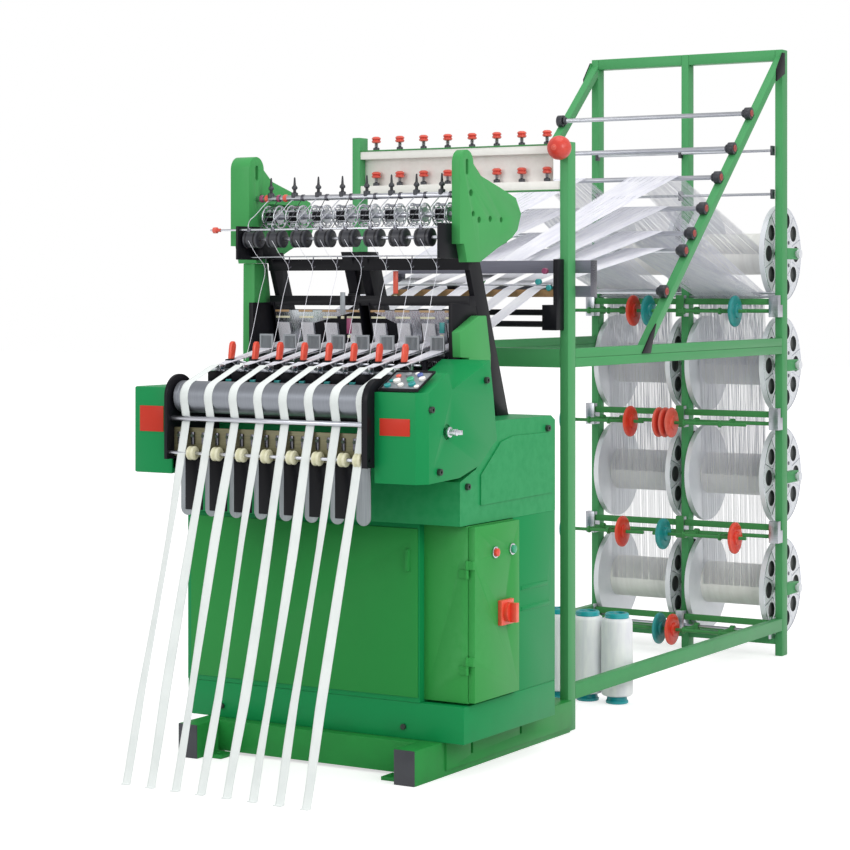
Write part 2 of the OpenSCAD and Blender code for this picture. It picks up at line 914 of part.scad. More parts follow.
module reed_sley() {
    reed_z = bed_top + 72;
    reed_h = 58;
    color(steel) union() {
        bar_x(-sley_end, sley_end, sley_y, sley_z, sley_r);
        for (x = [-246, -82, 82, 246]) {
            block(x - 6, x + 6, sley_y - 5, sley_y + 5, sley_z, bed_top + 62);
        }
        block(-sley_end, sley_end, sley_y - 7, sley_y + 7, bed_top + 60, bed_top + 74);
        for (k = [0:heads - 1]) {
            reed(head_x(k), reed_z, reed_h);
        }
    }
}

module reed(x, z, h) {
    dents = 9;
    t = 4;
    rim = 5;
    difference() {
        block(x - reed_w / 2, x + reed_w / 2, sley_y - t / 2, sley_y + t / 2, z, z + h);
        for (i = [0:dents - 1]) {
            gx = x - reed_w / 2 + rim + (i + 0.5) * (reed_w - 2 * rim) / dents;
            block(gx - 1.2, gx + 1.2, sley_y - t, sley_y + t, z + rim, z + h - rim);
        }
    }
}

module sley_bearings() {
    half = 5;
    for (x = [-sley_end + half, -164, 164, sley_end - half]) {
        difference() {
            block(x - half, x + half, sley_y - 12, sley_y + 12, bed_top, sley_z + 12);
            bar_x(x - half - 1, x + half + 1, sley_y, sley_z, sley_r + fit);
        }
    }
}

// ---------------------------------------------------------------- gallery

arm_left_x = -400;
arm_right_x = 344;
arm_left_in = -335;
arm_right_out = arm_right_x + 26;
arm_top = gallery_z + 138;
rail_z = gallery_z + 53;
rail_y = gallery_y - 33;
rail_r = 8;
drum_y = gallery_y - 103;
drum_z = gallery_z - 66;
drum_shaft_r = 5;

module arm_plate(x0, x1) {
    outline = [
        [gallery_y - 73, gallery_z - 84], [gallery_y - 73, arm_top],
        [gallery_y + 1, arm_top], [gallery_y + 43, gallery_z + 106],
        [gallery_y + 156, gallery_z + 76], [gallery_y + 243, gallery_z + 51],
        [gallery_y + 274, gallery_z + 7], [gallery_y + 253, gallery_z - 40],
        [gallery_y + 220, gallery_z - 63], [gallery_y + 139, gallery_z - 92],
        [gallery_y + 38, gallery_z - 133], [gallery_y - 34, gallery_z - 134],
        [gallery_y - 50, gallery_z - 84]];
    union() {
        side_plate(x0, x1, outline);
        bar_x(x0, x1, gallery_y - 36, arm_top, 37);
    }
}

module arm_holes(x0, x1) {
    for (h = [[15, 57, 10], [60, -16, 9], [122, -12, 9], [185, -13, 8]]) {
        bar_x(x0 - 1, x1 + 1, gallery_y - 27 + h[0], gallery_z + h[1], h[2]);
    }
    slot_y = gallery_y - 34;
    for (z = [arm_top - 25, arm_top + 5]) {
        bar_x(x0 - 1, x1 + 1, slot_y, z, 7);
    }
    block(x0 - 1, x1 + 1, slot_y - 7, slot_y + 7, arm_top - 25, arm_top + 5);
    bar_x(x0 - 1, x1 + 1, gallery_y, gallery_z, wheel_shaft_r + fit);
}

module left_arm() {
    color(green) {
        difference() {
            arm_plate(arm_left_x, arm_left_in);
            arm_holes(arm_left_x, arm_left_in);
            // hollow behind the broad front face
            block(arm_left_x + 14, arm_left_in + 1, gallery_y + 24, gallery_y + 200,
                  gallery_z - 60, gallery_z + 40);
        }
        // leg down to the cover
        side_plate(arm_left_x + 12, arm_left_in - 12, [
            [gallery_y - 28, gallery_z - 134], [gallery_y + 38, gallery_z - 133.6],
            [gallery_y + 62, z_top + 557], [gallery_y + 82, cover_top],
            [gallery_y - 23, cover_top], [gallery_y - 30, z_top + 460]]);
    }
}

module right_arm() {
    color(green) {
        difference() {
            arm_plate(arm_right_x, arm_right_out);
            arm_holes(arm_right_x, arm_right_out);
        }
        // post behind the right gearbox
        side_plate(arm_right_x, arm_right_out, [
            [gallery_y - 22, cover_top], [gallery_y - 22, z_top + 442],
            [gallery_y - 69, z_top + 444], [gallery_y - 74, z_top + 514],
            [gallery_y + 29, z_top + 557], [gallery_y + 74, z_top + 557],
            [gallery_y + 99, z_top + 447], [gallery_y + 99, cover_top]]);
    }
}

module spike(x) {
    union() {
        bar_z(x, rail_y, rail_z, rail_z + 16, 10);
        translate([x, rail_y, rail_z + 16]) cylinder(r1 = 8, r2 = 3, h = 44);
    }
}

gallery_plate_t = 8;

module gallery_plate(x0, x1) {
    difference() {
        block(x0, x1, drum_y - 36, rail_y + 20, drum_z - 58, drum_z + 38);
        bar_x(x0 - 1, x1 + 1, drum_y, drum_z, drum_shaft_r + fit);
    }
}

module gallery_rails() {
    wire_r = 2;
    front_y = drum_y - 27;
    front_z = drum_z + 27;
    wire_y = drum_y + 25;
    wire_z = drum_z - 50;
    color(black) union() {
        bar_x(arm_left_in, arm_right_x, rail_y, rail_z, rail_r);
        for (k = [0:heads - 1]) {
            spike(head_x(k) + 2);
        }
    }
    color(black) {
        gallery_plate(arm_left_in, arm_left_in + gallery_plate_t);
        gallery_plate(arm_right_x - gallery_plate_t, arm_right_x);
        block(arm_left_in + gallery_plate_t, arm_left_in + gallery_plate_t + 40,
              wire_y + 8, rail_y + 34, drum_z - 55, drum_z - 2);
    }
    color(steel) union() {
        difference() {
            bar_x(arm_left_x - 30, arm_right_x - gallery_plate_t, front_y, front_z, 3);
            block(arm_left_in, arm_left_in + gallery_plate_t, drum_y - 40, rail_y,
                  drum_z - 58, drum_z + 38);
        }
    }
    color(steel) union() {
        bar_x(arm_left_in + gallery_plate_t, arm_right_x - gallery_plate_t, wire_y, wire_z, wire_r);
        for (k = [0:heads - 1]) {
            bar_z(head_x(k) + 15, wire_y, wire_z - 32, wire_z, wire_r);
        }
    }
}

module feed_wheels() {
    wheel_w = 44;
    rim_t = 4;
    color(steel) union() {
        bar_x(arm_left_in - bearing_depth, arm_right_x + bearing_depth,
              gallery_y, gallery_z, wheel_shaft_r);
        for (k = [0:heads - 1]) {
            x = head_x(k) - 10;
            feed_wheel(x, wheel_w, rim_t);
        }
    }
}

module feed_wheel(x, w, rim) {
    difference() {
        union() {
            bar_x(x - w / 2, x + w / 2, gallery_y, gallery_z, wheel_r - 6);
            bar_x(x - w / 2, x - w / 2 + rim, gallery_y, gallery_z, wheel_r);
            bar_x(x + w / 2 - rim, x + w / 2, gallery_y, gallery_z, wheel_r);
        }
        for (a = [0:60:300]) {
            bar_x(x - w / 2 - 1, x + w / 2 + 1, gallery_y + (wheel_r - 16) * cos(a),
                  gallery_z + (wheel_r - 16) * sin(a), 6);
        }
    }
}

module feed_drums() {
    color(black) union() {
        bar_x(arm_left_in + 1, arm_right_x - 1, drum_y, drum_z, drum_shaft_r);
        for (k = [0:heads - 1]) {
            bar_x(head_x(k) - 34, head_x(k) + 14, drum_y, drum_z, drum_r);
        }
    }
}

// ---------------------------------------------------------------- creel

creel_y0 = base_l / 2;
creel_y1 = creel_y0 + creel_l;
half_creel = creel_w / 2;
post_in = half_creel - post_w;
mid_top = mid_z + mid_h;

// One side rail, between a front post and a rear post
module side_rail(x, z0, z1) {
    block(x, x + post_w, creel_y0 + post_d + weld, creel_y1 - post_d - weld, z0, z1);
}

module creel_frame() {
    bottom_h = 30;
    top_h = bottom_h + 8;
    set_back = 4;
    rear_foot_z = low_z - 20;
    front_y1 = creel_y0 + post_d;
    rear_y0 = creel_y1 - post_d;
    split_z = mid_z + mid_h / 2;
    rail_in = post_in - weld;
    bracket_h = 40;
    color(green) {
        block(post_in, half_creel, creel_y0, front_y1, 0, post_a_h);
        block(-half_creel, -post_in, creel_y0, front_y1, 0, post_e_h);
        for (x = [-half_creel, -post_w / 2, post_in]) {
            block(x, x + post_w, rear_y0, creel_y1, 0, creel_h);
        }
        // the middle side rails are two tubes laid on each other
        for (x = [-half_creel, post_in]) {
            side_rail(x, mid_z, split_z - weld);
            side_rail(x, split_z, mid_top);
            side_rail(x, low_z, low_z + low_h);
        }
        // cross rails: front middle, front foot, rear foot, rear top
        block(-rail_in, rail_in, creel_y0, front_y1, mid_z, mid_top);
        block(-rail_in, rail_in, creel_y0 + set_back, front_y1 - set_back, low_z - bottom_h, low_z);
        for (x = [-rail_in, post_w / 2 + weld]) {
            x1 = x + rail_in - post_w / 2 - weld;
            block(x, x1, rear_y0 + set_back, creel_y1 - set_back, rear_foot_z - bottom_h, rear_foot_z);
            block(x, x1, rear_y0, creel_y1, creel_h - top_h, creel_h);
        }
        // bearing brackets of the warp beams, on the rear posts
        for (level = [0:3], x = [-half_creel, -post_w / 2, post_in]) {
            difference() {
                block(x, x + post_w, creel_y1 + weld, beam_y + bracket_h / 2 + 2,
                      beam_z(level) - bracket_h / 2, beam_z(level) + bracket_h / 2);
                bar_x(x - 1, x + post_w + 1, beam_y, beam_z(level), beam_shaft_r + fit);
            }
        }
    }
}

diag_y0 = creel_y1 - post_d - 1116;
diag_y1 = creel_y1 - post_d;
diag_z1 = creel_h - 26;
diag_slope = (diag_z1 - mid_top) / (diag_y1 - diag_y0);
diag_h = 38;

function diag_z(y) = mid_top + (y - diag_y0) * diag_slope;

module diagonal(x) {
    side_plate(x, x + post_w, [
        [diag_y0, mid_top], [diag_y0 + diag_h / diag_slope, mid_top],
        [diag_y1, diag_z1 - diag_h], [diag_y1, diag_z1]]);
}

module creel_diagonals() {
    clevis = 70;
    color(green) {
        for (x = [-half_creel, post_in]) {
            diagonal(x);
        }
    }
    color(black) {
        for (x = [-half_creel - 5, half_creel]) {
            // clevis plate at the foot and gusset at the top, on the outside
            side_plate(x, x + 5, [
                [diag_y0 - 30, mid_top - 26], [diag_y0 + 30, mid_top - 26],
                [diag_y0 + clevis, diag_z(diag_y0 + clevis) + 4],
                [diag_y0 + 30, diag_z(diag_y0 + 30) + 8]]);
            side_plate(x, x + 5, [
                [diag_y1 - 60, diag_z(diag_y1 - 60) - diag_h], [diag_y1 + 14, diag_z1 - 60],
                [diag_y1 + 14, creel_h - 12], [diag_y1 - 6, creel_h - 12],
                [diag_y1 - 60, diag_z(diag_y1 - 60) + 4]]);
        }
    }
}

// Lengthwise places of the guide rods, measured back from the rear posts
rods = [269, 412, 527, 647, 742, 806, 954];
rod_above = 2;

thin_rod_drops = [515, 360];
thin_rod_r = 5;

module guide_rods() {
    holder_w = 22;
    clamp = 34;
    color(steel) {
        for (d = rods) {
            y = diag_y1 - d;
            z = diag_z(y) + holder_r + rod_above;
            bar_x(-post_in - 18, post_in + 18, y, z, rod_r);
        }
        for (drop = thin_rod_drops) {
            z = creel_h - drop;
            bar_x(-post_in + 2, post_in - 2, diag_y1 - 12, z, thin_rod_r);
        }
    }
    color(black) {
        for (d = rods) {
            y = diag_y1 - d;
            z = diag_z(y) + holder_r + rod_above;
            for (x = [-half_creel + 3, half_creel - 3 - holder_w]) {
                difference() {
                    bar_x(x, x + holder_w, y, z, holder_r);
                    bar_x(-post_in - 18, post_in + 18, y, z, rod_r);
                    holder_seat(x - 1, x + holder_w + 1);
                }
            }
        }
        for (drop = thin_rod_drops) {
            z = creel_h - drop;
            for (x = [-post_in, -post_w / 2 - 1, post_in - 8]) {
                rod_clamp(x, z, clamp);
            }
        }
    }
}

// The diagonal's upper face, which each holder sits on
module holder_seat(x0, x1) {
    side_plate(x0, x1, [
        [diag_y0, mid_top - 50], [diag_y0, mid_top], [diag_y1, diag_z1], [diag_y1, diag_z1 - 90]]);
}

module rod_clamp(x, z, size) {
    difference() {
        block(x, x + 8, diag_y1 - 24, diag_y1, z - size / 2, z + size / 2);
        bar_x(x - 1, x + 9, diag_y1 - 12, z, thin_rod_r);
    }
}

// ---------------------------------------------------------------- weft rack

rack_rail_h = 26;
rack_top_z = post_a_h - 7 - rack_rail_h;
rack_low_z = rack_top_z - 109;
rack_y0 = creel_y0 + 4;
rack_d = 32;
stem_y = rack_y0 + 12;

module weft_rack() {
    color(dark_green) for (z = [rack_top_z, rack_low_z]) {
        block(-post_in, post_in, rack_y0, rack_y0 + rack_d, z, z + rack_rail_h);
    }
    color(cream) block(-post_in, post_in - 40, rack_y0 + rack_d - 4, rack_y0 + rack_d - 1,
                       rack_low_z + rack_rail_h, rack_top_z);
}

module rack_knob(x, z) {
    color(black) union() {
        bar_z(x, stem_y, z, z + 10, 10);
        bar_z(x, stem_y, z + 9, z + 24, 4);
    }
    color(red) bar_z(x, stem_y, z + 24, z + 44, 14.5);
}

module rack_knobs() {
    ball_r = 36;
    for (z = [rack_top_z, rack_low_z]) {
        for (k = [0:heads - 1]) {
            rack_knob((k - (heads - 1) / 2) * rack_pitch, z + rack_rail_h);
        }
    }
    color(red) difference() {
        translate([half_creel - post_w / 2, creel_y0 - ball_r + 6, post_a_h - 20]) sphere(ball_r);
        block(post_in - 40, half_creel + 40, creel_y0, creel_y0 + 50, post_a_h - 100, post_a_h + 60);
    }
}

// ---------------------------------------------------------------- weft cones

cone_row = 508;
cone_y = creel_y0 + cone_row;
cone_x0 = post_in - 4 - cone_d / 2 - 10;

module weft_cone(x) {
    cap_h = 16;
    base_h = 26;
    color(teal) bar_z(x, cone_y, 0, base_h, cone_d * 0.36);
    color(yarn) bar_z(x, cone_y, base_h, cone_h - cap_h, cone_d / 2);
    color(teal) bar_z(x, cone_y, cone_h - cap_h, cone_h, cone_d * 0.38);
}

module weft_cones() {
    for (k = [0:cones - 1]) {
        weft_cone(cone_x0 - k * cone_pitch);
    }
}

// ---------------------------------------------------------------- rear warp rails

warp_y = creel_y0 - 48;

module rear_warp_rails() {
    block_h = 75;
    z0 = mid_top + 55;
    stop_x0 = -241.6;
    stop_wall = 1.4;
    stop_d = 42;
    warp_slot_z0 = z0 + 131;
    warp_slot_z1 = z0 + 169;
    color(black) {
        for (side = [-1, 1]) {
            x0 = side > 0 ? post_in - 34 : -half_creel + 14;
            block(x0, x0 + 48, warp_y, creel_y0, z0, z0 + block_h);
            block(side > 0 ? post_in : -half_creel + 14, side > 0 ? half_creel - 14 : -post_in,
                  warp_y + 6, creel_y0, z0 + block_h, z0 + 210);
        }
        // two dark rods between the blocks
        bar_x(-half_creel + 62, post_in - 34, warp_y + 16, z0 + 18, 9);
        bar_x(-half_creel + 62, post_in - 34, warp_y + 34, z0 + 52, 9);
    }
    // fibre bar
    color([0.62, 0.52, 0.40])
        block(-post_in, post_in, warp_y + 10, warp_y + 34, z0 + 98, z0 + 120);
    // stop motion box behind the front posts, with a slot for the warp
    color([0.45, 0.48, 0.50]) difference() {
        block(stop_x0, half_creel + 50, creel_y0 + post_d, creel_y0 + post_d + stop_d, z0 + 98, z0 + 207);
        block(stop_x0 + stop_wall, half_creel + 50 - stop_wall, creel_y0 + post_d - 1,
              creel_y0 + post_d + stop_d + 1,
              warp_slot_z0, warp_slot_z1);
    }
    color(black) bar_x(-15, 12, warp_y + 20, z0 + 129, 9);
}

// ---------------------------------------------------------------- warp beams

beam_y = creel_y1 + beam_behind;
beam_x0 = 18;
shaft_end = 2;
nut_t = 10;
wind_gap = 0.2;
nut_x = half_creel + 6;
turn_r = 5;

function beam_z(level) = beam_z0 + level * level_pitch;

module flange(x, outward) {
    face = outward > 0 ? x + flange_t - 9 : x;
    difference() {
        bar_x(x, x + flange_t, beam_y, 0, flange_d / 2);
        for (a = [0:36:324]) {
            bar_x(face - (outward > 0 ? 0 : 1), face + 9 + (outward > 0 ? 1 : 0),
                  beam_y + 0.36 * flange_d * cos(a), 0.36 * flange_d * sin(a), 0.082 * flange_d);
        }
    }
}

module warp_beam(level, side) {
    core_r = 40;
    translate([0, 0, beam_z(level)]) mirror([side < 0 ? 1 : 0, 0, 0]) {
        x0 = side < 0 ? post_in - 3 - beam_len : beam_x0;
        x1 = x0 + beam_len;
        color(steel) union() {
            flange(x0, -1);
            flange(x1 - flange_t, 1);
            bar_x(x0 + 1, x1 - 1, beam_y, 0, core_r);
            bar_x(shaft_end, nut_x + 1, beam_y, 0, beam_shaft_r);
            bar_x(nut_x, nut_x + nut_t, beam_y, 0, beam_shaft_r + 6);
        }
        color(yarn) difference() {
            bar_x(x0 + flange_t + wind_gap, x1 - flange_t - wind_gap, beam_y, 0, yarn_d / 2);
            bar_x(x0, x1, beam_y, 0, core_r + wind_gap);
        }
    }
}

module warp_beam_1() { warp_beam(3, -1); }
module warp_beam_2() { warp_beam(3, 1); }
module warp_beam_3() { warp_beam(2, -1); }
module warp_beam_4() { warp_beam(2, 1); }
module warp_beam_5() { warp_beam(1, -1); }
module warp_beam_6() { warp_beam(1, 1); }
module warp_beam_7() { warp_beam(0, -1); }
module warp_beam_8() { warp_beam(0, 1); }

// ---------------------------------------------------------------- let-off

pivot_r = 7;
pivot_y = diag_y1 - 26;
clamp_over = 6;
rod_out = post_in - clamp_over;
rod_in = post_w / 2 + 2;
weight_y = pivot_y - lever_reach;

function letoff_z(level) = max(beam_z(level) - 205, weight_d / 2 + 30);
function turn_y(level) = diag_y1 + 6 + 6 * level;
function turn_z(level) = beam_z(3) - 142 - 12 * (2 - level);

module let_off_rods() {
    for (level = [0:3]) {
        z = letoff_z(level);
        outer = level == 0 ? post_in : half_creel + 2;
        color(black) {
            rod_bracket(-outer, -rod_out, z);
            rod_bracket(-rod_in, rod_in, z);
            rod_bracket(rod_out, outer, z);
        }
        for (x = [-rod_out, rod_in]) {
            x0 = x + weld;
            x1 = x + rod_out - rod_in - weld;
            color(steel) bar_x(x0, x1, pivot_y, z, pivot_r);
            color(green) block(x0, x1, pivot_y - 8, pivot_y + 2, z + 22, z + 44);
        }
    }
    // turning rods that lead the lower warp sheets forward
    color(steel) for (level = [0:2], x = [-post_in, post_w / 2]) {
        bar_x(x, x + post_in - post_w / 2, turn_y(level), turn_z(level), turn_r);
    }
}

// A bracket on the front of a rear post, with a tab for the flat bar above the rod
module rod_bracket(x0, x1, z) {
    union() {
        block(x0, x1, pivot_y - 18, diag_y1, z - 22, z + 22);
        block(x0, x1, pivot_y - 18, pivot_y + 6, z + 21, z + 56);
    }
}

module lever_frame(level, x0, x1, arms) {
    z = letoff_z(level);
    hub_w = 16;
    color(green) difference() {
        union() {
            bar_x(x0, x1, weight_y, z, 6);
            for (x = arms) {
                block(x - 4, x + 4, weight_y, pivot_y, z - 8, z + 8);
                bar_x(x - 4, x + 4, weight_y, z, 12);
                bar_x(x - hub_w / 2, x + hub_w / 2, pivot_y, z, 14);
            }
        }
        bar_x(x0 - 500, x1 + 500, pivot_y, z, pivot_r + fit);
    }
}

module weight(level, x, t, tint) {
    z = letoff_z(level);
    color(tint) difference() {
        union() {
            bar_x(x - t / 2, x + t / 2, weight_y, z, weight_d / 2);
            bar_x(x - t / 2 - 5, x + t / 2 + 5, weight_y, z, weight_d / 4);
        }
        bar_x(x - t, x + t, weight_y, z, 6.15);
    }
}

left_arms = [-320, -240];
right_arms = [60, 200];
bar_left = -430;
bar_right = 300;

module let_off_lever_1() {
    lever_frame(3, bar_left, -50, left_arms);
    weight(3, -410, weight_t, teal);
    weight(3, -140, weight_t, red);
    weight(3, -80, weight_t, teal);
}

module let_off_lever_2() {
    lever_frame(3, 40, bar_right, right_arms);
    weight(3, 258, weight_t, teal);
}

module let_off_lever_3() {
    lever_frame(2, bar_left, -100, left_arms);
    weight(2, -410, weight_t, teal);
    weight(2, -152, weight_t, red);
}

module let_off_lever_4() {
    lever_frame(2, -62, bar_right, right_arms);
    for (x = [-38, -13, 12]) {
        stack_weight(2, x);
    }
}

// One disc of the close stack, without a boss
module stack_weight(level, x) {
    color([0.88, 0.36, 0.32]) difference() {
        bar_x(x - 12, x + 12, weight_y, letoff_z(level), weight_d / 2 - 2);
        bar_x(x - 13, x + 13, weight_y, letoff_z(level), 6.15);
    }
}

module let_off_lever_5() {
    lever_frame(1, bar_left, -100, left_arms);
    weight(1, -410, weight_t, teal);
    weight(1, -184, weight_t, red);
}

module let_off_lever_6() {
    lever_frame(1, -62, bar_right, right_arms);
    weight(1, -21, weight_t + 10, teal);
    weight(1, 258, weight_t, red);
}

module let_off_lever_7() {
    lever_frame(0, -340, -12, left_arms);
    weight(0, -36, weight_t, teal);
}

module let_off_lever_8() {
    lever_frame(0, -4, bar_right, right_arms);
    weight(0, 14, weight_t, red);
}

// ---------------------------------------------------------------- tapes and warp

wrap_r = roller_r + seat;
fell_d = [fell_y - 4 - roller_y, fell_z - roller_z];
rod_d = [guide_rod_y - roller_y, guide_rod_z - roller_z];
wrap_a0 = atan2(fell_d[1], fell_d[0]) + acos(wrap_r / norm(fell_d));
wrap_a1 = 360 + atan2(rod_d[1], rod_d[0]) - acos((wrap_r - guide_rod_r - seat) / norm(rod_d));
floor_y = y_gear - 268;
tape_foot = 14;

// The tape's course from the breast plate to the floor, at a height t above its underside
function tape_path(t) = concat(
    [[fell_y + 20, fell_z + t], [fell_y - 4, fell_z + t]],
    [for (i = [0:8]) let(a = wrap_a0 + (wrap_a1 - wrap_a0) * i / 8)
        [roller_y + (wrap_r + t) * cos(a), roller_z + (wrap_r + t) * sin(a)]],
    [[guide_rod_y - guide_rod_r - seat - t, guide_rod_z],
     [floor_y - t * 0.8, t], [floor_y - tape_foot, t]]);

function reversed(list) = [for (i = [len(list) - 1:-1:0]) list[i]];

module woven_tapes() {
    color(yarn) for (k = [0:heads - 1]) {
        side_plate(head_x(k) - tape_w / 2, head_x(k) + tape_w / 2,
                   concat(tape_path(tape_t), reversed(tape_path(0))));
    }
}

sheet_t = 0.8;
sheet_rods = [5, 4, 3, 2];
rail_pass_y = warp_y + 9.5;
rail_pass_z = mid_top + 55 + 120 + 1.2;
warp_end_y = harness_y + frames * frame_pitch + 6;
warp_end_z = bed_top + 118;

// A flat band between two edges, each given by its middle, its width and its place
module band(x0, w0, p0, x1, w1, p1) {
    hull() {
        translate([x0 - w0 / 2, p0[0] - sheet_t / 2, p0[1] - sheet_t / 2])
            cube([w0, sheet_t, sheet_t]);
        translate([x1 - w1 / 2, p1[0] - sheet_t / 2, p1[1] - sheet_t / 2])
            cube([w1, sheet_t, sheet_t]);
    }
}

module warp_sheet(level, side, k) {
    w = beam_len - 2 * flange_t - 16;
    middle = side < 0 ? -(post_in - 3 - beam_len / 2) : beam_x0 + beam_len / 2;
    rod_y = diag_y1 - rods[sheet_rods[level]];
    rod_z = diag_z(rod_y) + holder_r + rod_above;
    start = [beam_y - yarn_d / 2 - seat - sheet_t / 2, beam_z(level)];
    apex = [rod_y, rod_z + rod_r * 1.14 + 0.9];
    rail = [rail_pass_y, rail_pass_z];
    corner = [turn_y(level) + turn_r + 1.2, turn_z(level) + 5];
    if (level < 3) {
        band(middle, w, start, middle, w, corner);
        band(middle, w, corner, middle, w, apex);
    } else {
        band(middle, w, start, middle, w, apex);
    }
    band(middle, w, apex, head_x(k), heald_w, rail);
    band(head_x(k), heald_w, rail, head_x(k), heald_w, [warp_end_y, warp_end_z]);
}

module warp_sheets() {
    half_heads = floor(heads / 2);
    color(yarn) for (level = [0:3]) {
        if (3 - level < half_heads) {
            warp_sheet(level, -1, 3 - level);
        }
        if (half_heads + 3 - level < heads) {
            warp_sheet(level, 1, half_heads + 3 - level);
        }
    }
}

base_frame();
base_end_caps();
plinth();
lower_body();
front_panel();
upper_cover();
electric_cabinet();
cabinet_door();
door_fittings();
stop_button();
start_button();
main_switch_knob();
drive_motor();
weaving_bed();
left_gearbox();
right_gearbox();
name_plates();
cover_bolts();
take_off_roller();
hand_shaft();
tape_guide_bar();
guide_rollers();
weaving_heads();
harness_columns();
harness_frame_1();
harness_frame_2();
harness_frame_3();
harness_frame_4();
reed_sley();
left_arm();
right_arm();
gallery_rails();
feed_wheels();
feed_drums();
rear_warp_rails();
creel_frame();
creel_diagonals();
guide_rods();
weft_rack();
rack_knobs();
weft_cones();
let_off_rods();
woven_tapes();
warp_sheets();
warp_beam_1();
warp_beam_2();
warp_beam_3();
warp_beam_4();
warp_beam_5();
warp_beam_6();
warp_beam_7();
warp_beam_8();
let_off_lever_1();
let_off_lever_2();
let_off_lever_3();
let_off_lever_4();
let_off_lever_5();
let_off_lever_6();
let_off_lever_7();
let_off_lever_8();
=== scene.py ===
# %% [markdown]
# # A narrow fabric needle loom with its warp creel
# The real machine is a painted steel body that carries eight weaving heads side by side, and a
# welded creel behind it that holds eight warp beams. The solids come from the CAD frame, so each
# piece here is made where the CAD says. Lengths are written in millimetres and are turned into
# metres once, when a piece is finished.

# %% Load the frame
import bpy, bmesh, json, math, random
from mathutils import Matrix, Vector


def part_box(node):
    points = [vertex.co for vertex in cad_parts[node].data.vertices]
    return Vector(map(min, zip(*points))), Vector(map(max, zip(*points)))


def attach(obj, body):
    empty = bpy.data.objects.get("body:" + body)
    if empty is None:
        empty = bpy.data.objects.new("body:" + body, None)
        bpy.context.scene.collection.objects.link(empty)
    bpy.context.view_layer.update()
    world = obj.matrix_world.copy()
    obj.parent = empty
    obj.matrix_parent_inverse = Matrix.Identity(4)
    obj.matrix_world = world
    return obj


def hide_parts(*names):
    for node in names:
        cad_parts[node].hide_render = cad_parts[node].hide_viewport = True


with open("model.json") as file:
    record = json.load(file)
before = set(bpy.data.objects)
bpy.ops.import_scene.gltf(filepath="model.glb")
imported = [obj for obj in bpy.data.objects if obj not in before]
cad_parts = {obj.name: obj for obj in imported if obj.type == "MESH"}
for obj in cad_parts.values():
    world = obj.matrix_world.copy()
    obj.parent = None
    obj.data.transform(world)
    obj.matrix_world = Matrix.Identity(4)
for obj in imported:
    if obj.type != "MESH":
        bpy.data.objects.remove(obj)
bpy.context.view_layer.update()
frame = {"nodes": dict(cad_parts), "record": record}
MM = 0.001
BODY_OF = {node: body for body, nodes in frame["record"]["behaviour"]["bodies"].items() for node in nodes}

# %% [markdown]
# ## Camera
# A long lens from the operator's right. The lens sits at half the machine's height and looks level,
# so the posts stay upright, and a small vertical shift brings the whole machine into the frame.

# %% Camera
camera_data = bpy.data.cameras.new("long_lens")
camera_data.lens, camera_data.sensor_width = 98.47, 36.0
camera_data.shift_y = -0.1631
camera_data.clip_end = 60.0
camera = bpy.data.objects.new("long_lens", camera_data)
camera.location = (3.571, -5.656, 1.3166)
camera.rotation_euler = (math.radians(90), 0, math.radians(31.147))
bpy.context.scene.collection.objects.link(camera)
bpy.context.scene.camera = camera
print("camera", camera_data.lens, "mm")

# %% [markdown]
# ## Colour helper
# Paint makers give colours as screen values from 0 to 255. Shaders work in linear light, so one
# helper turns the first into the second.

# %% Colours
def screen(red, green, blue):
    def linear(value):
        part = value / 255
        return part / 12.92 if part <= 0.04045 else ((part + 0.055) / 1.055) ** 2.4
    return (linear(red), linear(green), linear(blue), 1.0)

print("mid grey in linear light", round(screen(128, 128, 128)[0], 3))

# %% [markdown]
# ## Shared effects as node groups
# Several finishes share the same effects: cloudy paint whose edges are painted lighter, partly as
# rubbed paint and partly as a painted highlight, lines left by a lathe, thread wound side by side,
# and a plain weave. Each is a node group, built once, with named inputs, so that each material only
# sets its own values. A group gives colours, masks and heights, and the shader itself stays in the
# material.

# %% A small writer for node groups
class Network:
    """Writes nodes and links of one tree, in the order they are needed."""

    def __init__(self, tree):
        self.tree = tree

    def add(self, kind, *inputs, **settings):
        node = self.tree.nodes.new(kind)
        for key, value in settings.items():
            setattr(node, key, value)
        for index, value in enumerate(inputs):
            self.feed(node.inputs[index], value)
        return node

    def feed(self, socket, value):
        if isinstance(value, bpy.types.NodeSocket):
            self.tree.links.new(value, socket)
        else:
            socket.default_value = value

    def maths(self, operation, *values):
        return self.add("ShaderNodeMath", *values, operation=operation).outputs[0]

    def blend(self, factor, first, second, kind="MIX"):
        node = self.add("ShaderNodeMix", data_type="RGBA", blend_type=kind)
        for name, value in (("Factor", factor), ("A", first), ("B", second)):
            self.feed([s for s in node.inputs if s.name == name and s.enabled][0], value)
        return [s for s in node.outputs if s.enabled][0]

    def ramp(self, value, low, high, out_low=0.0, out_high=1.0):
        return self.add("ShaderNodeMapRange", value, low, high, out_low, out_high).outputs[0]

    def noise(self, place, scale, detail=3.0, rough=0.55):
        node = self.add("ShaderNodeTexNoise")
        for name, value in (("Vector", place), ("Scale", scale), ("Detail", detail), ("Roughness", rough)):
            self.feed(node.inputs[name], value)
        return node.outputs["Fac"]

    def place(self):
        return self.add("ShaderNodeTexCoord").outputs["Object"]

    def stretch(self, place, factors):
        return self.add("ShaderNodeVectorMath", place, factors, operation="MULTIPLY").outputs[0]


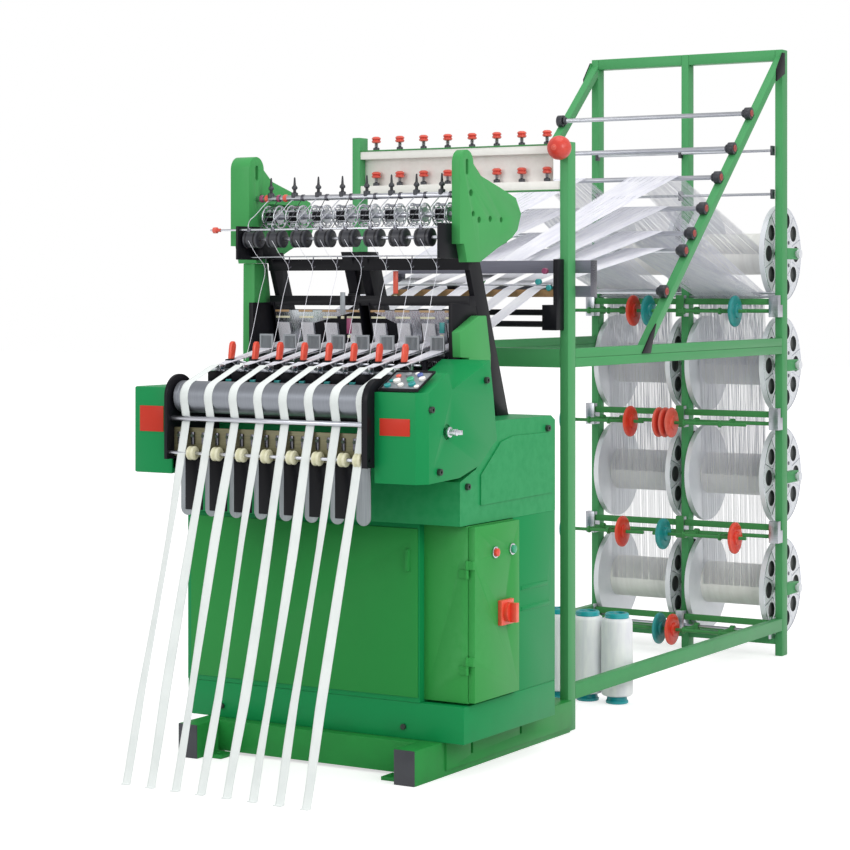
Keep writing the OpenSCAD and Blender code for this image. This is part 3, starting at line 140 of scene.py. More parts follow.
def effect(name, inputs, outputs, build):
    """Makes a node group with named sockets: build gets the network and the input sockets."""
    tree = bpy.data.node_groups.new(name, "ShaderNodeTree")
    for label, kind, value in inputs:
        socket = tree.interface.new_socket(label, in_out="INPUT", socket_type="NodeSocket" + kind)
        socket.default_value = value
    for label, kind in outputs:
        tree.interface.new_socket(label, in_out="OUTPUT", socket_type="NodeSocket" + kind)
    net = Network(tree)
    source = net.add("NodeGroupInput")
    results = build(net, {s.name: s for s in source.outputs if s.name})
    sink = net.add("NodeGroupOutput")
    for label, value in results.items():
        net.feed(sink.inputs[label], value)
    print("effect", name, "with", [label for label, kind in outputs])
    return tree

# %% [markdown]
# ### Painted steel
# Sprayed paint is never quite even. A slow noise changes its shade, a finer one its gloss, a very
# fine one gives the orange peel, and the mesh's own pointiness finds the edges, which are painted
# lighter: partly paint rubbed thin, and partly a painted highlight along the edge.

# %% Painted steel group
def build_paint(net, given):
    place = net.place()
    cloud = net.noise(place, given["Cloud scale"], 4.0)
    shade = net.ramp(cloud, 0.3, 0.7, 0.98, 1.02)
    tone = net.add("ShaderNodeCombineXYZ", shade, shade, shade).outputs[0]
    colour = net.blend(1.0, given["Paint"], tone, "MULTIPLY")
    # Darker in noisy patches towards the bottom, over the lowest quarter metre.
    low = net.ramp(net.add("ShaderNodeSeparateXYZ", place).outputs[2], 0.0, 0.25, 0.2, 0.0)
    low_darkening = net.maths("MULTIPLY", low, net.ramp(net.noise(place, 9.0, 5.0), 0.45, 0.75))
    colour = net.blend(low_darkening, colour, given["Low colour"])
    # Convex edges blend to the edge colour: rubbed paint in patches, and a painted highlight.
    edges = net.ramp(net.add("ShaderNodeNewGeometry").outputs["Pointiness"], 0.6, 0.75)
    rubbed_and_highlit = net.maths("MULTIPLY", net.maths("MULTIPLY", edges, given["Edge rub and highlight"]),
                       net.ramp(net.noise(place, 40.0, 4.0), 0.3, 0.6, 0.35, 1.0))
    colour = net.blend(rubbed_and_highlit, colour, given["Edge colour"])
    gloss = net.ramp(net.noise(place, 6.0, 3.0), 0.3, 0.7, 0.38, 0.42)
    peel = net.noise(place, 350.0, 2.0)
    return {"Color": colour, "Roughness": gloss, "Height": peel}


PAINTED = effect(
    "painted_steel",
    [("Paint", "Color", screen(50, 150, 75)), ("Edge colour", "Color", screen(150, 215, 170)),
     ("Low colour", "Color", screen(40, 60, 45)), ("Edge rub and highlight", "Float", 0.5), ("Cloud scale", "Float", 2.5)],
    [("Color", "Color"), ("Roughness", "Float"), ("Height", "Float")], build_paint)

# %% [markdown]
# ### Turned and drawn metal
# A lathe leaves rings and a drawing die leaves lines. Both are a noise that is squeezed along one
# direction, so the group takes the squeeze as a vector.

# %% Machined metal group
def build_metal(net, given):
    place = net.add("ShaderNodeVectorMath", net.place(), given["Squeeze"], operation="MULTIPLY").outputs[0]
    lines = net.noise(place, 1.0, 3.0, 0.6)
    stain = net.noise(net.place(), 12.0, 3.0)
    tone = net.blend(net.ramp(lines, 0.3, 0.7, 0.4, 1.0), given["Dark"], given["Bright"])
    tone = net.blend(net.ramp(stain, 0.5, 0.8, 0.0, 0.25), tone, given["Dark"])
    rough = net.ramp(lines, 0.3, 0.7, given["Gloss"], net.maths("ADD", given["Gloss"], 0.08))
    return {"Color": tone, "Roughness": rough, "Height": lines}


MACHINED = effect(
    "machined_metal",
    [("Bright", "Color", screen(215, 217, 222)), ("Dark", "Color", screen(150, 152, 160)),
     ("Squeeze", "Vector", (1500.0, 20.0, 20.0)), ("Gloss", "Float", 0.2)],
    [("Color", "Color"), ("Roughness", "Float"), ("Height", "Float")], build_metal)

# %% [markdown]
# ### Wound thread
# Yarn on a beam or a cone lies in rings beside each other. A sine wave along the axis gives the
# rings, and a slow noise lets some turns lie higher, with a little more shade between them.

# %% Wound thread group
def build_winding(net, given):
    place = net.place()
    along = net.add("ShaderNodeVectorMath", place, given["Axis"], operation="DOT_PRODUCT").outputs["Value"]
    drift = net.maths("MULTIPLY", net.noise(place, 25.0, 3.0), 0.004)
    wave = net.maths("SINE", net.maths("MULTIPLY", net.maths("ADD", along, drift), given["Turns"]))
    ridge = net.ramp(wave, -1.0, 1.0)
    broad = net.noise(net.stretch(place, (60.0, 8.0, 8.0)), 1.0, 3.0)
    colour = net.blend(net.ramp(broad, 0.35, 0.7), given["Yarn"], given["Shade"])
    colour = net.blend(net.ramp(ridge, 0.0, 0.5, 0.3, 0.0), colour, given["Shade"])
    return {"Color": colour, "Height": net.maths("ADD", ridge, broad)}


WOUND = effect(
    "wound_thread",
    [("Yarn", "Color", screen(255, 254, 250)), ("Shade", "Color", screen(244, 242, 238)),
     ("Turns", "Float", 5200.0), ("Axis", "Vector", (1.0, 0.0, 0.0))],
    [("Color", "Color"), ("Height", "Float")], build_winding)

# %% [markdown]
# ### Plain weave
# A tape is a row of warp cords crossed by weft. Two sine waves, one across the tape and one along
# it, multiply to a chequer of small hills, and the low parts between them are painted darker as
# painted shade. The tape mesh carries its own flat coordinates, so the weave follows it round the
# roller.

# %% Plain weave group
def build_weave(net, given):
    flat = net.add("ShaderNodeSeparateXYZ", net.add("ShaderNodeUVMap", uv_map="flat").outputs[0])
    cords = net.maths("SINE", net.maths("MULTIPLY", flat.outputs[0], given["Cords"]))
    picks = net.maths("SINE", net.maths("MULTIPLY", flat.outputs[1], given["Picks"]))
    hills = net.ramp(net.maths("MULTIPLY", cords, picks), -1.0, 1.0)
    ribs = net.ramp(cords, -1.0, 1.0)
    height = net.maths("ADD", net.maths("MULTIPLY", hills, 0.5), ribs)
    soft = net.noise(net.place(), 14.0, 3.0)
    # Darker where the weave is low, between cords and picks: painted shade.
    colour = net.blend(net.ramp(height, 0.0, 0.8, 0.45, 0.0), given["Cloth"], given["Between"])
    colour = net.blend(net.ramp(soft, 0.45, 0.8, 0.0, 0.3), colour, given["Between"])
    return {"Color": colour, "Height": height}


WOVEN = effect(
    "plain_weave",
    [("Cloth", "Color", screen(232, 237, 235)), ("Between", "Color", screen(196, 206, 204)),
     ("Cords", "Float", 3600.0), ("Picks", "Float", 2600.0)],
    [("Color", "Color"), ("Height", "Float")], build_weave)

# %% [markdown]
# ### Moulded parts
# Plastic and cast parts have an even colour with a faint mottling, and the grain of the mould.
# Their convex edges are painted lighter as a painted highlight.

# %% Moulded group
def build_mould(net, given):
    place = net.place()
    mottle = net.ramp(net.noise(place, given["Grain"], 4.0), 0.3, 0.7)
    colour = net.blend(mottle, given["Colour"], given["Second"])
    # Convex edges are painted lighter towards the edge colour: a painted highlight.
    edges = net.ramp(net.add("ShaderNodeNewGeometry").outputs["Pointiness"], 0.51, 0.58, 0.0, 0.5)
    colour = net.blend(edges, colour, given["Edge"])
    return {"Color": colour, "Roughness": net.ramp(mottle, 0.0, 1.0, 0.3, 0.48),
            "Height": net.noise(place, 900.0, 2.0)}


MOULDED = effect(
    "moulded",
    [("Colour", "Color", screen(40, 40, 45)), ("Second", "Color", screen(52, 52, 58)),
     ("Edge", "Color", screen(110, 110, 120)), ("Grain", "Float", 60.0)],
    [("Color", "Color"), ("Roughness", "Float"), ("Height", "Float")], build_mould)

# %% [markdown]
# ## Finishes
# A finish is one material: a shared effect with its own colours, and the plain numbers of the
# shader set on the shader itself.

# %% Finish maker
FINISHES = {}


def finish(name, group, values, bump=0.0, **shader_numbers):
    """A material that feeds one effect group into one Principled shader."""
    material = bpy.data.materials.new(name)
    material.use_nodes = True
    tree = material.node_tree
    shader = tree.nodes["Principled BSDF"]
    use = tree.nodes.new("ShaderNodeGroup")
    use.node_tree = group
    for label, value in values.items():
        use.inputs[label].default_value = value
    tree.links.new(use.outputs["Color"], shader.inputs["Base Color"])
    if "Roughness" in use.outputs and "Roughness" not in shader_numbers:
        tree.links.new(use.outputs["Roughness"], shader.inputs["Roughness"])
    if bump:
        rise = tree.nodes.new("ShaderNodeBump")
        rise.inputs["Strength"].default_value = 1.0
        rise.inputs["Distance"].default_value = bump * MM
        tree.links.new(use.outputs["Height"], rise.inputs["Height"])
        tree.links.new(rise.outputs["Normal"], shader.inputs["Normal"])
    for label, value in shader_numbers.items():
        shader.inputs[label].default_value = value
    FINISHES[name] = material


# The edge amount sets how far the edges take the lighter colour, for rubbed paint and a painted highlight.
def painted(name, colour, edge, wear_and_highlight=0.14, cloud=2.5):
    finish(name, PAINTED, {"Paint": screen(*colour), "Edge colour": screen(*edge), "Edge rub and highlight": wear_and_highlight,
                           "Cloud scale": cloud}, bump=0.004,
           **{"Coat Weight": 0.04, "Coat Roughness": 0.25, "Specular IOR Level": 0.14})


def moulded(name, colour, second, edge, grain=60.0, coat=0.0):
    finish(name, MOULDED, {"Colour": screen(*colour), "Second": screen(*second), "Edge": screen(*edge),
                           "Grain": grain}, bump=0.012,
           **{"Coat Weight": coat, "Coat Roughness": 0.2, "Specular IOR Level": 0.35})


def machined(name, bright, dark, squeeze, gloss=0.22, metallic=1.0):
    finish(name, MACHINED, {"Bright": screen(*bright), "Dark": screen(*dark), "Squeeze": squeeze,
                            "Gloss": gloss}, bump=0.002, Metallic=metallic)


print("finish makers ready")

# %% [markdown]
# ### Paints
# The body, its front and the switch cabinet are three near greens, and the creel's is lighter.
# Each has its own edge colour for rubbed places and for the painted highlight along its edges.

# %% Paints
painted("green_paint", (20, 140, 78), (100, 200, 140))
painted("front_green", (42, 142, 66), (100, 190, 120))
painted("cabinet_green", (54, 152, 72), (140, 215, 155))
painted("creel_green", (78, 156, 98), (130, 200, 150))
painted("arm_green", (70, 158, 88), (130, 205, 150), cloud=9.0)
painted("bar_green", (70, 140, 80), (120, 190, 130))
painted("black_metal", (22, 22, 27), (80, 82, 94), 0.25)
painted("red_plate", (196, 56, 40), (225, 110, 90), 0.3)
painted("motor_iron", (70, 86, 96), (140, 150, 160))
print(len(FINISHES), "paints")

# %% [markdown]
# ### Plastics
# Knobs, caps and guides are moulded in strong colours. A thin clear coat gives knobs their shine,
# and parts that are meant to be dull have none.

# %% Plastics
moulded("black_plastic", (30, 30, 34), (40, 40, 46), (80, 82, 90), coat=0.2)
moulded("bolt_black", (24, 34, 28), (36, 48, 40), (70, 90, 78))
moulded("red_plastic", (226, 52, 28), (214, 42, 22), (250, 120, 90), coat=0.4)
moulded("knob_red", (208, 56, 40), (196, 44, 32), (240, 120, 100), coat=0.4)
moulded("salmon_plastic", (234, 92, 74), (224, 78, 62), (250, 140, 120), coat=0.3)
moulded("teal_plastic", (10, 138, 136), (6, 124, 124), (70, 180, 180), coat=0.35)
moulded("cap_teal", (0, 150, 156), (0, 138, 146), (60, 190, 196), coat=0.35)
moulded("green_plastic", (24, 160, 110), (16, 146, 98), (100, 210, 170), coat=0.4)
moulded("blue_plastic", (70, 92, 170), (60, 80, 156), (130, 150, 210), coat=0.3)
moulded("maroon_plastic", (130, 40, 84), (116, 34, 74), (180, 90, 130), coat=0.3)
moulded("cream_plastic", (216, 214, 180), (202, 198, 160), (240, 238, 215), coat=0.2)
moulded("panel_cream", (240, 238, 234), (234, 230, 226), (250, 248, 242))
moulded("heald_white", (236, 236, 242), (226, 226, 236), (250, 250, 252))
moulded("fibre_tan", (176, 140, 100), (158, 122, 84), (200, 170, 130), grain=120.0)
moulded("holder_red", (150, 62, 58), (130, 50, 50), (190, 110, 100))
print(len(FINISHES), "paints and plastics")

# %% [markdown]
# ### Metals
# The squeeze says how the tool went: a turned roller has fine rings along x, a drawn rod has long
# lines along x, and a casting is even in all directions.

# %% Metals
machined("wheel_chrome", (228, 230, 236), (150, 152, 162), (900.0, 60.0, 60.0))
machined("roller_steel", (142, 146, 153), (120, 124, 132), (500.0, 6.0, 6.0), 0.4, 0.8)
machined("drawn_steel", (206, 208, 214), (150, 152, 162), (14.0, 500.0, 500.0), 0.28)
machined("dark_steel", (112, 112, 120), (66, 66, 74), (14.0, 700.0, 700.0))
machined("guide_brass", (126, 122, 92), (84, 82, 60), (14.0, 300.0, 300.0), 0.45, 0.3)
machined("beam_alloy", (236, 238, 242), (216, 220, 226), (9.0, 9.0, 9.0), 0.45, 0.3)
machined("box_grey", (122, 122, 136), (104, 104, 118), (14.0, 300.0, 300.0), 0.45, 0.3)
# The dark pocket finish is painted shade for the flanges' pockets.
machined("pocket_shade_grey", (92, 96, 96), (60, 62, 62), (30.0, 30.0, 30.0), 0.4, 0.4)
machined("blade_steel", (160, 166, 170), (128, 132, 138), (300.0, 300.0, 8.0), 0.45, 0.6)
print(len(FINISHES), "with the metals")

# %% [markdown]
# ### Threads and cloth
# Thread is rough with a little sheen.

# %% Threads and cloth
SHEEN = {"Roughness": 0.75, "Sheen Weight": 0.2}
finish("warp_yarn", WOUND, {}, bump=0.03, **SHEEN)
finish("warp_thread", WOUND, {"Yarn": screen(246, 246, 252), "Shade": screen(228, 228, 240)}, **SHEEN)
finish("cone_yarn", WOUND, {"Yarn": screen(255, 255, 255), "Shade": screen(238, 238, 244),
                            "Axis": (0.0, 0.0, 1.0), "Turns": 4200.0}, bump=0.03, **SHEEN)
finish("tape_weave", WOVEN, {}, bump=0.06, **SHEEN)
print(len(FINISHES), "finishes")

# %% [markdown]
# ## Modelling helpers
# A piece is a bag of small solids: blocks, plates with a drawn outline, turned parts and bent
# wires. Each solid gets its own rounded edges before it goes into the bag, because a sharp edge
# never catches the light as a real one does.

# %% Piece maker
ROUND_FROM = math.radians(32)
ALONG_X, ALONG_Y, UP = (1, 0, 0), (0, 1, 0), (0, 0, 1)
PLATE_ORDER = {"x": lambda t, u, v: (t, u, v), "y": lambda t, u, v: (u, t, v),
               "z": lambda t, u, v: (u, v, t)}


def compass(count, start=0.0):
    """Evenly spaced angles round a circle."""
    return [math.radians(start) + 2 * math.pi * k / count for k in range(count)]


class Piece:
    def __init__(self, name, body, *nodes):
        self.name, self.body, self.nodes = name, body, nodes
        self.mesh, self.paints = bmesh.new(), []

    def take(self, solid, paint, edge=0.0, clamp=True, tint=None):
        """Rounds the sharp edges of a solid, gives it a finish and adds it to the piece.
        tint may give another finish for a face's centre and normal."""
        bmesh.ops.recalc_face_normals(solid, faces=solid.faces)
        if edge:
            sharp = [e for e in solid.edges if len(e.link_faces) == 2 and e.calc_face_angle(0) > ROUND_FROM]
            bmesh.ops.bevel(solid, geom=sharp, offset=edge, segments=2, profile=0.5,
                            affect="EDGES", clamp_overlap=clamp)
        for face in solid.faces:
            own = (tint and tint(face.calc_center_median(), face.normal)) or paint
            if own not in self.paints:
                self.paints.append(own)
            face.material_index = self.paints.index(own)
        mesh = bpy.data.meshes.new("solid")
        solid.to_mesh(mesh)
        solid.free()
        self.mesh.from_mesh(mesh)
        bpy.data.meshes.remove(mesh)

    def plate(self, axis, start, end, outline, paint, edge=1.0):
        """A drawn outline pushed along an axis."""
        order, solid = PLATE_ORDER[axis], bmesh.new()
        near = [solid.verts.new(order(start, u, v)) for u, v in outline]
        far = [solid.verts.new(order(end, u, v)) for u, v in outline]
        solid.faces.new(near)
        solid.faces.new(far)
        for k in range(len(outline)):
            n = (k + 1) % len(outline)
            solid.faces.new((near[k], near[n], far[n], far[k]))
        self.take(solid, paint, edge)

    def block(self, x, y, z, paint, edge=1.0):
        corners = [(x[0], y[0]), (x[1], y[0]), (x[1], y[1]), (x[0], y[1])]
        self.plate("z", z[0], z[1], corners, paint, edge)

    def turned(self, start, direction, profile, paint, sides=28, edge=0.0):
        """A lathe part: profile is a list of (distance along the axis, radius)."""
        axis = Vector(direction).normalized()
        side = axis.orthogonal().normalized()
        up = axis.cross(side)
        solid, rings = bmesh.new(), []
        for t, r in profile:
            middle = Vector(start) + axis * t
            angles = compass(sides) if r > 0 else [0.0]
            rings.append([solid.verts.new(middle + (side * math.cos(a) + up * math.sin(a)) * r)
                          for a in angles])
        for first, second in zip(rings, rings[1:]):
            for k in range(sides):
                n = (k + 1) % sides
                quad = (first[k % len(first)], first[n % len(first)],
                        second[n % len(second)], second[k % len(second)])
                quad = list(dict.fromkeys(quad))
                if len(quad) > 2:
                    solid.faces.new(quad)
        for ring in (rings[0], rings[-1]):
            if len(ring) > 2:
                solid.faces.new(ring)
        self.take(solid, paint, edge)

    def rod(self, start, end, radius, paint, sides=20, edge=0.5):
        line = Vector(end) - Vector(start)
        self.turned(start, line, [(0, radius), (line.length, radius)], paint, sides, edge)

    def wire(self, points, radius, paint, sides=6, closed=False):
        """A bent wire: a small ring is carried along the points."""
        points = [Vector(p) for p in points]
        solid, rings, side = bmesh.new(), [], None
        for k, point in enumerate(points):
            if closed:
                along = (points[(k + 1) % len(points)] - points[k - 1]).normalized()
            else:
                along = (points[min(k + 1, len(points) - 1)] - points[max(k - 1, 0)]).normalized()
            side = along.orthogonal() if side is None else side - along * side.dot(along)
            side.normalize()
            up = along.cross(side)
            rings.append([solid.verts.new(point + (side * math.cos(a) + up * math.sin(a)) * radius)
                          for a in compass(sides)])
        pairs = list(zip(rings, rings[1:])) + ([(rings[-1], rings[0])] if closed else [])
        for first, second in pairs:
            for n in range(sides):
                m = (n + 1) % sides
                solid.faces.new((first[n], first[m], second[m], second[n]))
        if not closed:
            solid.faces.new(rings[0])
            solid.faces.new(rings[-1])
        self.take(solid, paint)

    def ring(self, centre, direction, big, small, paint, steps=36, sides=8):
        axis = Vector(direction).normalized()
        side = axis.orthogonal().normalized()
        up = axis.cross(side)
        points = [Vector(centre) + (side * math.cos(a) + up * math.sin(a)) * big for a in compass(steps)]
        self.wire(points, small, paint, sides, closed=True)

    def finish(self, smooth=34, slot=None):
        mesh = bpy.data.meshes.new(self.name)
        self.mesh.to_mesh(mesh)
        self.mesh.free()
        mesh.transform(Matrix.Scale(MM, 4))
        for paint in self.paints:
            mesh.materials.append(FINISHES[paint])
        mesh.shade_smooth()
        mesh.set_sharp_from_angle(angle=math.radians(smooth))
        thing = bpy.data.objects.new(self.name, mesh)
        bpy.context.scene.collection.objects.link(thing)
        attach(thing, self.body)
        if self.nodes:
            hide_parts(*self.nodes)
        print(self.name, len(mesh.polygons), "faces")


def curved(points, steps=6):
    """A smooth path through the points."""
    points = [Vector(p) for p in points]
    path = []
    for k in range(len(points) - 1):
        a, b, c, d = points[max(k - 1, 0)], points[k], points[k + 1], points[min(k + 2, len(points) - 1)]
        for s in range(steps):
            t = s / steps
            path.append(0.5 * (2 * b + (c - a) * t + (2 * a - 5 * b + 4 * c - d) * t * t
                               + (3 * b - a - 3 * c + d) * t ** 3))
    return path + [points[-1]]

# %% [markdown]
# ## Dressing a solid from the frame
# Where the CAD solid already has the right shape, its mesh is copied and cleaned: doubled points
# are merged, flat facets are joined, and the sharp edges are rounded. The copy then stands for the
# node. A chooser can give each loose part of a node its own finish.

# %% Dress a node
def loose_parts(mesh):
    """Splits a bmesh into its loose parts, each a new bmesh."""
    left, parts = set(mesh.verts), []
    while left:
        seed = left.pop()
        found, border = {seed}, [seed]
        while border:
            for edge in border.pop().link_edges:
                for vert in edge.verts:
                    if vert not in found:
                        found.add(vert)
                        border.append(vert)
        left -= found
        part, twin = bmesh.new(), {}
        for face in sorted({f for v in found for f in v.link_faces}, key=lambda f: f.index):
            for vert in face.verts:
                if vert not in twin:
                    twin[vert] = part.verts.new(vert.co)
            try:
                part.faces.new([twin[v] for v in face.verts])
            except ValueError:
                pass
        parts.append(part)
    return parts


def dress(node, paint, edge=1.5, choose=None, skip=None, clamp=True, tint=None):
    """A cleaned and rounded copy of a CAD node. choose gives a loose part's finish from its (low, high)
    in mm, skip leaves parts out, and tint gives a finish for single faces."""
    source = bmesh.new()
    source.from_mesh(frame["nodes"][node].data)
    bmesh.ops.scale(source, vec=(1 / MM,) * 3, verts=source.verts)
    bmesh.ops.remove_doubles(source, verts=source.verts, dist=0.01)
    bmesh.ops.dissolve_limit(source, angle_limit=math.radians(0.6), verts=source.verts, edges=source.edges)
    source.verts.ensure_lookup_table()
    source.faces.index_update()
    piece = Piece(node + "_dressed", BODY_OF[node], node)
    parts, boxed = loose_parts(source), []
    source.free()
    for part in parts:
        low = Vector([min(v.co[k] for v in part.verts) for k in range(3)])
        high = Vector([max(v.co[k] for v in part.verts) for k in range(3)])
        boxed.append((tuple(round(c, 2) for c in low), part, low, high))
    for key, part, low, high in sorted(boxed, key=lambda item: item[0]):
        if skip and skip(low, high):
            part.free()
        else:
            piece.take(part, choose(low, high) if choose else paint, edge, clamp, tint)
    return piece


print("helpers ready")

# %% [markdown]
# ## Machine body
# Folded and welded sheet, sprayed in one green. All the covers have the right form in the CAD, so
# they are dressed, with broader rounding on the covers than on the frame.

# %% Base, plinth and covers
for node, paint, edge in (("base_frame", "front_green", 2.0), ("plinth", "green_paint", 3.0),
                          ("lower_body", "green_paint", 2.5), ("upper_cover", "green_paint", 4.0),
                          ("left_gearbox", "green_paint", 5.0), ("right_gearbox", "green_paint", 5.0),
                          ("electric_cabinet", "cabinet_green", 2.0), ("cabinet_door", "cabinet_green", 2.5),
                          ("base_end_caps", "black_plastic", 3.0), ("name_plates", "red_plate", 0.8)):
    dress(node, paint, edge).finish()

# %% [markdown]
# ### Tray on the right gearbox
# The sloping lid holds a shallow tray with a black rim, and the operator keeps small spares in it:
# guides, bushes and clips. The tray lies on the slope, so its parts follow the same line.

# %% Tray and spares
LID_FRONT, LID_BACK = (-532, 1041), (-435, 1090)
TRAY_X, TRAY_Y = (332, 446), (-528, -437)
FLOOR_T, RIM_H, RIM_T = 3, 7, 4


def lid_z(y):
    """Height of the gearbox's sloping lid at y."""
    return LID_FRONT[1] + (y - LID_FRONT[0]) * (LID_BACK[1] - LID_FRONT[1]) / (LID_BACK[0] - LID_FRONT[0])


def on_lid(piece, x0, x1, y0, y1, height, paint, edge):
    outline = [(y, lid_z(y) + rise) for y, rise in ((y0, 0.4), (y1, 0.4), (y1, height), (y0, height))]
    piece.plate("x", x0, x1, outline, paint, edge)


tray = Piece("gearbox_tray", "loom_frame")
on_lid(tray, *TRAY_X, -524, -440, FLOOR_T, "blade_steel", 0.6)
for x in (TRAY_X[0] - RIM_T, TRAY_X[1]):
    on_lid(tray, x, x + RIM_T, *TRAY_Y, RIM_H, "black_metal", 0.8)
for y in (TRAY_Y[0], TRAY_Y[1] - RIM_T):
    on_lid(tray, *TRAY_X, y, y + RIM_T, RIM_H, "black_metal", 0.8)
SPARES = (("teal_plastic", 346, -508, 9), ("panel_cream", 362, -486, 10), ("salmon_plastic", 352, -462, 7),
          ("panel_cream", 384, -504, 8), ("green_plastic", 398, -478, 10), ("blade_steel", 380, -456, 9),
          ("teal_plastic", 416, -500, 10), ("panel_cream", 432, -474, 9), ("blue_plastic", 414, -455, 8),
          ("panel_cream", 436, -510, 7), ("teal_plastic", 344, -484, 6), ("panel_cream", 402, -449, 6))
for paint, x, y, r in SPARES:
    spare = [(0, r - 1), (1, r), (r * 0.7, r), (r * 0.8, r * 0.7), (r * 0.8, 3)]
    tray.turned((x, y, lid_z(y) + 2.4), (0, -0.45, 0.89), spare, paint, 20)
tray.finish(slot="black_metal")

# %% [markdown]
# ### Front panel, small fittings and bolts
# The panel is one sheet with a pressed edge and a chromed latch near its right side. Bolt heads
# are blackened. The buttons and the main switch sit on the cabinet door, and move by themselves.

# %% Panel, latch, buttons and bolts
def panel_part(low, high):
    return "front_green" if high.x - low.x > 400 else "wheel_chrome"


dress("front_panel", "front_green", 1.5, choose=panel_part).finish()
dress("cover_bolts", "bolt_black", 1.2).finish()
dress("drive_motor", "motor_iron", 0.0).finish()


def door_part(low, high):
    return "wheel_chrome" if high.z - low.z < 50 else "red_plastic"


dress("door_fittings", "wheel_chrome", 1.0, choose=door_part).finish()
dress("stop_button", "red_plastic", 1.5).finish()
dress("start_button", "green_plastic", 1.5).finish()
dress("main_switch_knob", "red_plastic", 2.0).finish()

# %% [markdown]
# ### Bed, bearing plates and hand shaft
# The bed is a casting between two bearing plates, all sprayed black. The hand shaft has a squared
# end for a crank.

# %% Bed and hand shaft
dress("weaving_bed", "black_metal", 1.5).finish()
dress("hand_shaft", "wheel_chrome", 1.0).finish()

# %% [markdown]
# ## Take-off roller
# A chromed tube on a shaft. Turned edges and two shallow grooves by each end show how it was made,
# so the profile goes on the lathe instead of being a plain cylinder.

# %% Take-off roller
ROLLER_Y, ROLLER_Z, ROLLER_R = -505.0, 1013.0, 44.0
roller = Piece("take_off_roller_turned", "take_off_roller", "take_off_roller")
low, high = [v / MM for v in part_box("take_off_roller")]
left, right = -325.0, 296.0
profile = [(0, 12), (0, 41), (2, ROLLER_R), (14, ROLLER_R), (15, 42.6), (17, 42.6), (18, ROLLER_R)]
span = right - left
profile += [(span - t, r) for t, r in reversed(profile)]
roller.turned((left, ROLLER_Y, ROLLER_Z), ALONG_X, profile, "roller_steel", 96)
roller.rod((low.x, ROLLER_Y, ROLLER_Z), (left + 1, ROLLER_Y, ROLLER_Z), 12.5, "drawn_steel")
roller.rod((right - 1, ROLLER_Y, ROLLER_Z), (high.x, ROLLER_Y, ROLLER_Z), 12.5, "drawn_steel")
roller.finish()

# %% [markdown]
# ## Guide rollers, guide bar and blades
# Eight cream rollers on one rod lead the tapes away. Behind them an olive bar carries hanging
# blades; thin black plates before the blades are painted shade under the bar. Small brackets and
# screws sit between the rollers.

# %% Guide rollers and bar
HEADS = [-287.0 + 82.0 * k for k in range(8)]
low, high = [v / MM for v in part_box("guide_rollers")]
GUIDE_Y, GUIDE_Z = (low.y + high.y) / 2, (low.z + high.z) / 2
ROLLERS_X = [x + 35 for x in HEADS[:-1]] + [HEADS[-1]]
rollers = Piece("guide_rollers_turned", "guide_rollers", "guide_rollers")
SPOOL = [(0, 5.2), (0, 16), (2, 18.6), (6, 19), (9, 17.6), (13, 17.6), (16, 19), (20, 18.6), (22, 16),
         (22, 5.2)]
for x in ROLLERS_X:
    rollers.turned((x - 11, GUIDE_Y, GUIDE_Z), ALONG_X, SPOOL, "cream_plastic", 32)
rollers.rod((low.x, GUIDE_Y, GUIDE_Z), (high.x, GUIDE_Y, GUIDE_Z), 5.0, "drawn_steel")
rollers.finish()


def bar_tint(centre, normal):
    if centre.z < 849 or (centre.y > -521.9 and centre.z < 884):
        return "blade_steel"
    return "drawn_steel" if centre.z > 931 else None


bar = dress("tape_guide_bar", "guide_brass", 1.0, tint=bar_tint)
# Thin black plates before the blades: painted shade under the guide bar.
for x in HEADS[:-1]:
    bar.block((x - 13, x + 46), (-525.6, -522.3), (704, 850), "black_metal", 1.2)
for k, x in enumerate(HEADS):
    for dx in (-24, 22):
        bar.block((x + dx - 5, x + dx + 5), (-540, -534), (884, 918), "dark_steel", 1.0)
        bar.turned((x + dx, -540, 908), (0, -1, 0), [(0, 4.5), (3, 4.5), (4, 3.2)], "bolt_black", 12)
    bar.block((x - 16, x - 2), (-547, -534), (862, 876), "guide_brass", 2.0)
bar.finish(slot="steel")

# %% [markdown]
# ## Weaving heads
# Each head is a black block with a polished breast plate in front, where the tape is made, a red
# finger lever on a black post, and a curved weft needle. Between the heads lie small coloured
# parts: teal thread guides, blue spring boxes and steel clips. One function makes a head, and it
# is used eight times.

# %% Weaving heads
BED_TOP, HEAD_TOP = 1050.0, 1080.0
SCREW = [(0, 4.5), (3, 4.5), (4, 3)]


